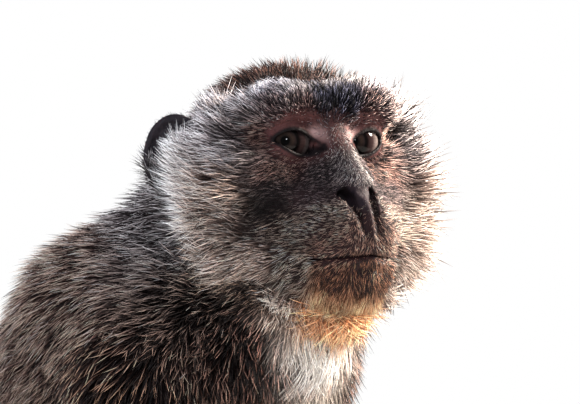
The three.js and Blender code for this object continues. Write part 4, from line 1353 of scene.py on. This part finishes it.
def eye_material():
    made, tree, shader = material("eye", 0.03, Specular_IOR_Level=0.09)
    gaze = node(tree, "ShaderNodeAttribute", attribute_name="gaze").outputs["Vector"]
    flat = node(tree, "ShaderNodeVectorMath", operation="MULTIPLY")
    tree.links.new(gaze, flat.inputs[0])
    flat.inputs[1].default_value = (1, 1, 0)
    out = node(tree, "ShaderNodeVectorMath", operation="LENGTH")
    tree.links.new(flat.outputs[0], out.inputs[0])
    spokes = node(tree, "ShaderNodeVectorMath", operation="NORMALIZE")
    tree.links.new(flat.outputs[0], spokes.inputs[0])
    threads = ranged(tree, noise(tree, 9, 4, spokes.outputs[0]), 0.55, 1.5)
    ring = added(tree, out.outputs["Value"], noise(tree, 6, 2, gaze), 0.03)
    ramp = node(tree, "ShaderNodeValToRGB")
    for place, colour in EYE_RINGS[1:-1]:
        ramp.color_ramp.elements.new(place)
    for element, (place, colour) in zip(ramp.color_ramp.elements, EYE_RINGS):
        element.position = place
        element.color = (*colour, 1)
    tree.links.new(ring, ramp.inputs["Fac"])
    tree.links.new(multiplied(tree, ramp.outputs["Color"], threads), shader.inputs["Base Color"])
    return made


def nail_material():
    made, tree, shader = material("nail", 0.3, Specular_IOR_Level=0.5, Coat_Weight=0.2)
    colour = two_tones(tree, noise(tree, 380, 5), (0.018, 0.014, 0.013), (0.09, 0.07, 0.06))
    tree.links.new(colour, shader.inputs["Base Color"])
    bumped(tree, shader, noise(tree, 700), 0.3, 0.0003)
    return made


def floor_material():
    made, tree, shader = material("floor", 0.7, Specular_IOR_Level=0.2)
    colour = two_tones(tree, noise(tree, 6), (0.66, 0.66, 0.655), (0.71, 0.71, 0.70))
    tree.links.new(colour, shader.inputs["Base Color"])
    return made


def finish_piece(piece, made, slot, *replaced):
    """Gives the piece its material and its body, and hides the nodes that it stands for. The slot is not
    used.
    """
    piece.data.materials.clear()
    piece.data.materials.append(made)
    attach(piece, "root")
    if replaced:
        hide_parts(*replaced)


# ---- settings ----

def tone_setting(name, value):
    return bpy.props.FloatVectorProperty(
        name=name, description=f"Colour: {name.lower()}", subtype="COLOR_GAMMA",
        size=3, min=0, max=1, default=value,
    )


def tone_settings():
    tones = {}
    for look, row in LOOKS.items():
        for place in ("root", "middle", "tip"):
            name = f"{look} hair, {place}".capitalize()
            tones[f"{look}_{place}"] = tone_setting(name, getattr(row, place))
    for name, value in SKIN_TONES.items():
        tones[f"skin_{name}"] = tone_setting(f"Skin, {name}".capitalize(), value)
    return tones


class MacaqueTones(bpy.types.PropertyGroup):
    """The colours of the hair and the bare skin."""
    __annotations__ = tone_settings()


class MacaqueSizes(bpy.types.PropertyGroup):
    """How the coat is laid, and how the eyes look."""
    coat_length: bpy.props.FloatProperty(
        name="Coat length", description="Length of the hair, as a share of its own",
        default=1, min=0.2, max=2, subtype="FACTOR")
    tuft_width: bpy.props.FloatProperty(
        name="Tuft width", description="Thickness of each tuft, as a share of its own",
        default=1, min=0.3, max=3, subtype="FACTOR")
    coat_curl: bpy.props.FloatProperty(
        name="Curl", description="How far the hair bends to the side",
        default=0.22, min=0, max=1.5, subtype="ANGLE")
    gaze_side: bpy.props.FloatProperty(
        name="Gaze to the side", description="How far the eyes turn from straight ahead",
        default=math.radians(-36), subtype="ANGLE")
    gaze_up: bpy.props.FloatProperty(
        name="Gaze up", description="How far the eyes look up",
        default=math.radians(2), subtype="ANGLE")


class MacaqueStage(bpy.types.PropertyGroup):
    """Camera and light."""
    camera_turn: bpy.props.FloatProperty(
        name="Camera turn", description="Azimuth of the camera round the animal",
        default=math.radians(-60), subtype="ANGLE")
    camera_away: bpy.props.FloatProperty(
        name="Camera distance", description="From the camera to the head",
        default=2.2, unit="LENGTH")
    view_width: bpy.props.FloatProperty(
        name="Width in view", description="Width that the camera takes in at the head",
        default=0.264, unit="LENGTH")
    sky: bpy.props.FloatProperty(
        name="Sky", description="Strength of the soft light from all round", default=0.3, min=0)
    sun: bpy.props.FloatProperty(
        name="Sun", description="Power of the warm light from the far side",
        default=60, min=0, unit="POWER")
    fill: bpy.props.FloatProperty(
        name="Fill", description="Power of the cool light on the near side",
        default=3, min=0, unit="POWER")
    glint: bpy.props.FloatProperty(
        name="Glint", description="Power of the small light that the eyes mirror",
        default=4.2, min=0, unit="POWER")
    rim: bpy.props.FloatProperty(
        name="Rim", description="Power of the light on the back's edge from behind",
        default=26, min=0, unit="POWER")


# ---- pieces ----

def settings():
    scene = bpy.context.scene
    return scene.macaque_sizes, scene.macaque_tones, scene.macaque_stage


SEAM_REACH = 2.4  # how near a seam the joined skin is smoothed, in millimetres
SEAM_ROUNDS = 8


def edges_of(mesh):
    ends = np.empty(len(mesh.edges) * 2, int)
    mesh.edges.foreach_get("vertices", ends)
    return ends.reshape(-1, 2)


def smoothed(places, ends, moving, rounds):
    """Places with the moving ones drawn towards the middle of their neighbours."""
    links = np.zeros(len(places))
    np.add.at(links, ends.ravel(), 1)
    for _ in range(rounds):
        total = np.zeros_like(places)
        np.add.at(total, ends[:, 0], places[ends[:, 1]])
        np.add.at(total, ends[:, 1], places[ends[:, 0]])
        drawn = total / np.maximum(links, 1)[:, None]
        places = np.where(moving[:, None], places * 0.5 + drawn * 0.5, places)
    return places


class MACAQUE_OT_skin(bpy.types.Operator):
    """Grows the one skin of head, trunk, limbs, ears and tail"""
    bl_idname = "macaque.skin"
    bl_label = "Skin"

    def execute(self, context):
        _, tones, _ = settings()
        mesh = joined_skin()
        bm = bmesh.new()
        bm.from_mesh(mesh)
        bmesh.ops.dissolve_degenerate(bm, dist=0.00001, edges=bm.edges[:])
        bmesh.ops.triangulate(bm, faces=bm.faces[:])
        bm.to_mesh(mesh)
        bm.free()
        places = from_row(read_vectors(mesh.vertices, "co"))
        apart = np.abs(np.stack([field_over_body(region)(places) for region in regions()]))
        label = apart.argmin(0)
        seam = np.sort(apart, axis=0)[1] < SEAM_REACH
        places = smoothed(places, edges_of(mesh), seam, SEAM_ROUNDS)
        mesh.vertices.foreach_set("co", to_row(places).ravel())
        shade_smooth(mesh)
        mesh.update()
        mesh.name = "skin"
        skin = put("skin", mesh)
        mesh.attributes.new("region", "INT", "POINT").data.foreach_set("value", label.astype(np.int32))
        normals = read_vectors(mesh.vertex_normals, "vector")
        colour_vertices(mesh, "tint", skin_tints(places, normals, label, tones))
        flesh_nodes = [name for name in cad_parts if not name.startswith("eye")]
        finish_piece(skin, skin_material(), "face_skin", *flesh_nodes)
        return {"FINISHED"}


EYE_PLAY = 0.06  # between eyeball and socket, in millimetres
CORNEA_REACH, CORNEA_RISE = math.radians(37), 0.055


class MACAQUE_OT_eyes(bpy.types.Operator):
    """Makes the two eyeballs, with their corneas, looking where the settings say"""
    bl_idname = "macaque.eyes"
    bl_label = "Eyes"

    def execute(self, context):
        sizes, _, _ = settings()
        ahead = Matrix.Rotation(sizes.gaze_side, 3, "Z") @ Vector(HEAD_FORWARD)
        ahead = (ahead * math.cos(sizes.gaze_up) + Vector(UP) * math.sin(sizes.gaze_up)).normalized()
        right = ahead.cross(Vector(UP)).normalized()
        turn = Matrix([right, right.cross(ahead), ahead]).transposed()
        made = eye_material()
        for side in SIDES:
            bm = bmesh.new()
            bmesh.ops.create_uvsphere(bm, u_segments=56, v_segments=40, radius=(EYE_RADIUS - EYE_PLAY) * MM)
            gaze = [vert.co.normalized() for vert in bm.verts]
            for vert, look in zip(bm.verts, gaze):
                # The clear front bulges over the iris.
                off = math.acos(max(-1, min(1, look.z))) / CORNEA_REACH
                vert.co *= 1 + CORNEA_RISE * max(0, 1 - off * off)
            place = Matrix.Translation(Vector(EYES[side])) @ turn.to_4x4()
            bmesh.ops.transform(bm, matrix=place, verts=bm.verts)
            bmesh.ops.recalc_face_normals(bm, faces=bm.faces)
            mesh = mesh_of(bm, f"eyeball_{side}")
            shade_smooth(mesh)
            looks = mesh.attributes.new("gaze", "FLOAT_VECTOR", "POINT")
            looks.data.foreach_set("vector", np.array(gaze, np.float32).ravel())
            finish_piece(put(mesh.name, mesh), made, "eye", f"eye_{side}")
        return {"FINISHED"}


class MACAQUE_OT_nails(bpy.types.Operator):
    """Makes the nails of fingers and toes"""
    bl_idname = "macaque.nails"
    bl_label = "Nails"

    def execute(self, context):
        bm = bmesh.new()
        for s in SIDES.values():
            for digit in FINGERS + TOES:
                place = digit_point(digit, 0.985, digit.radius * 0.95 + 2.0)
                ahead = digit.heading.copy()
                place[0] *= s
                ahead[0] *= s
                r = digit.radius
                made = bmesh.ops.create_uvsphere(bm, u_segments=16, v_segments=10, radius=1)["verts"]
                for vert in made:
                    # A curved plate: domed above, hollow below, longer than it is wide.
                    dome = vert.co.z * 0.16 - 0.34 * vert.co.x**2 - 0.12 * vert.co.y**2
                    vert.co = Vector((vert.co.x * r * 0.62, vert.co.y * r * 0.98, dome * r))
                side = np.cross(ahead, UP)
                turn = Matrix([side, ahead, UP]).transposed()
                tilt = turn @ Matrix.Rotation(math.radians(-24), 3, "X")
                matrix = Matrix.Translation(Vector(to_row(place))) @ (tilt * MM).to_4x4()
                bmesh.ops.transform(bm, matrix=matrix, verts=made)
        bmesh.ops.recalc_face_normals(bm, faces=bm.faces)
        mesh = mesh_of(bm, "nails")
        shade_smooth(mesh)
        finish_piece(put("nails", mesh), nail_material(), "bare_skin")
        return {"FINISHED"}


def lay_pieces(kinds, slot):
    """Lays every piece of the coat whose name starts with one of the kinds."""
    sizes, tones, _ = settings()
    surface = read_surface(bpy.data.objects["skin"], tones)
    names = piece_names(surface)
    found = bpy.data.materials.get("coat") or hair_material("coat")
    for name in sorted(set(names)):
        if name.split("_")[0] not in kinds:
            continue
        seed = sum(ord(letter) * (place + 1) for place, letter in enumerate(name))
        piece = lay_coat(name, surface, np.flatnonzero(names == name), sizes, seed)
        triangles = len(piece.data.polygons)
        print(f"{piece.name}: {triangles} triangles")
        if triangles >= PIECE_LIMIT:
            raise RuntimeError(f"{piece.name} has {triangles} triangles, and may have {PIECE_LIMIT}")
        finish_piece(piece, found, slot)


class MACAQUE_OT_face_coat(bpy.types.Operator):
    """Lays the short hair of the face, brow and crown"""
    bl_idname = "macaque.face_coat"
    bl_label = "Face and crown coat"

    def execute(self, context):
        lay_pieces(("face", "brow", "forehead", "crown"), "face_skin")
        return {"FINISHED"}


class MACAQUE_OT_ruff_coat(bpy.types.Operator):
    """Lays the long grey hair of the cheeks, throat and neck"""
    bl_idname = "macaque.ruff_coat"
    bl_label = "Ruff and neck coat"

    def execute(self, context):
        kinds = ("temple", "cheek", "ruff", "throat", "beard", "nape", "neck", "ears")
        lay_pieces(kinds, "grey_coat")
        return {"FINISHED"}


class MACAQUE_OT_body_coat(bpy.types.Operator):
    """Lays the coat of the trunk"""
    bl_idname = "macaque.body_coat"
    bl_label = "Body coat"

    def execute(self, context):
        lay_pieces(("chest", "belly", "pelvis"), "back_coat")
        return {"FINISHED"}


class MACAQUE_OT_limb_coat(bpy.types.Operator):
    """Lays the coat of the limbs, hands, feet and tail"""
    bl_idname = "macaque.limb_coat"
    bl_label = "Limb and tail coat"

    def execute(self, context):
        lay_pieces(("arm", "leg", "hand", "foot", "tail"), "back_coat")
        return {"FINISHED"}


# Where each light stands from the head, in metres to the camera's right, towards it and up,
# how wide it is, its colour, and whether the gloss shows it.
Lamp = namedtuple("Lamp", "name right back up size colour mirrored")
LAMPS = [
    Lamp("sun", 1.25, -0.2, 0.75, 0.45, (1.0, 0.90, 0.78), True),
    Lamp("fill", -1.2, 0.9, 0.5, 1.0, (0.80, 0.90, 1.0), False),
    Lamp("glint", -0.1, 1.6, 0.4, 0.15, (0.9, 0.95, 1), True),
    Lamp("rim", -0.9, -0.9, 1.1, 0.6, (0.9, 0.94, 1), False),
]
LAMP_SPREAD = math.radians(120)
SKY_COLOUR = (0.97, 0.94, 1.0, 1)
FLOOR_RADIUS = 1.05
AIM_LEFT, AIM_BELOW = 0.0145, 0.0273  # where the camera aims, from between the eyes


def area_light(lamp, place, aim, power):
    light = bpy.data.lights.new(lamp.name, "AREA")
    light.shape = "DISK"
    light.size = lamp.size
    light.energy = power
    light.color = lamp.colour
    light.spread = LAMP_SPREAD
    piece = put(lamp.name, light)
    piece.location = place
    piece.visible_glossy = lamp.mirrored
    piece.rotation_euler = (place - aim).to_track_quat("Z", "Y").to_euler()


class MACAQUE_OT_stage(bpy.types.Operator):
    """Sets the floor, the lights, the sky and the camera"""
    bl_idname = "macaque.stage"
    bl_label = "Stage"

    def execute(self, context):
        _, _, stage = settings()
        scene = context.scene
        bm = bmesh.new()
        bmesh.ops.create_circle(bm, cap_ends=True, segments=128, radius=FLOOR_RADIUS)
        floor = put("floor", mesh_of(bm, "floor"))
        floor.data.materials.append(floor_material())
        floor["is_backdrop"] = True

        back = Vector((math.sin(stage.camera_turn), -math.cos(stage.camera_turn), 0))
        right = Vector((math.cos(stage.camera_turn), math.sin(stage.camera_turn), 0))
        up = Vector(UP)
        head = Vector(to_row(BETWEEN_EYES))
        target = head - right * AIM_LEFT - up * AIM_BELOW
        camera = bpy.data.cameras.new("camera")
        camera.lens = camera.sensor_width * stage.camera_away / stage.view_width
        viewer = put("camera", camera)
        viewer.location = target + back * stage.camera_away
        viewer.rotation_euler = back.to_track_quat("Z", "Y").to_euler()
        scene.camera = viewer
        for lamp in LAMPS:
            place = head + right * lamp.right + back * lamp.back + up * lamp.up
            area_light(lamp, place, head, getattr(stage, lamp.name))

        world = bpy.data.worlds.new("sky")
        scene.world = world
        world.use_nodes = True
        tree = world.node_tree
        light = tree.nodes["Background"]
        light.inputs["Color"].default_value = SKY_COLOUR
        light.inputs["Strength"].default_value = stage.sky
        seen = node(tree, "ShaderNodeBackground")
        seen.inputs["Color"].default_value = (1, 1, 1, 1)
        mix = node(tree, "ShaderNodeMixShader")
        path = node(tree, "ShaderNodeLightPath")
        tree.links.new(path.outputs["Is Camera Ray"], mix.inputs[0])
        tree.links.new(light.outputs[0], mix.inputs[1])
        tree.links.new(seen.outputs[0], mix.inputs[2])
        tree.links.new(mix.outputs[0], tree.nodes["World Output"].inputs["Surface"])
        scene.view_settings.view_transform = "Standard"
        return {"FINISHED"}


class MACAQUE_PT_panel(bpy.types.Panel):
    """Lists the macaque's operators in the 3D view's sidebar"""
    bl_idname = "MACAQUE_PT_panel"
    bl_label = "Macaque"
    bl_space_type = "VIEW_3D"
    bl_region_type = "UI"
    bl_category = "Macaque"

    def draw(self, context):
        for operator in OPERATORS:
            self.layout.operator(operator.bl_idname)
        for group in (context.scene.macaque_sizes, context.scene.macaque_stage):
            for name in group.__annotations__:
                self.layout.prop(group, name)


OPERATORS = (
    MACAQUE_OT_stage, MACAQUE_OT_skin, MACAQUE_OT_eyes, MACAQUE_OT_nails, MACAQUE_OT_face_coat,
    MACAQUE_OT_ruff_coat, MACAQUE_OT_body_coat, MACAQUE_OT_limb_coat,
)
GROUPS = {"macaque_tones": MacaqueTones, "macaque_sizes": MacaqueSizes, "macaque_stage": MacaqueStage}


def register():
    for made in (*GROUPS.values(), *OPERATORS, MACAQUE_PT_panel):
        bpy.utils.register_class(made)
    for name, group in GROUPS.items():
        setattr(bpy.types.Scene, name, bpy.props.PointerProperty(type=group))


def unregister():
    for name in GROUPS:
        delattr(bpy.types.Scene, name)
    for made in (MACAQUE_PT_panel, *reversed(OPERATORS), *reversed(GROUPS.values())):
        bpy.utils.unregister_class(made)


def main():
    register()
    for operator in OPERATORS:
        group, name = operator.bl_idname.split(".")
        getattr(getattr(bpy.ops, group), name)()
    sizes = {"cad": CAD_BOUNDS, "visual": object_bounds()}
    plain = {name: [[float(v) for v in corner] for corner in box] for name, box in sizes.items()}


if __name__ == "__main__":
    main()
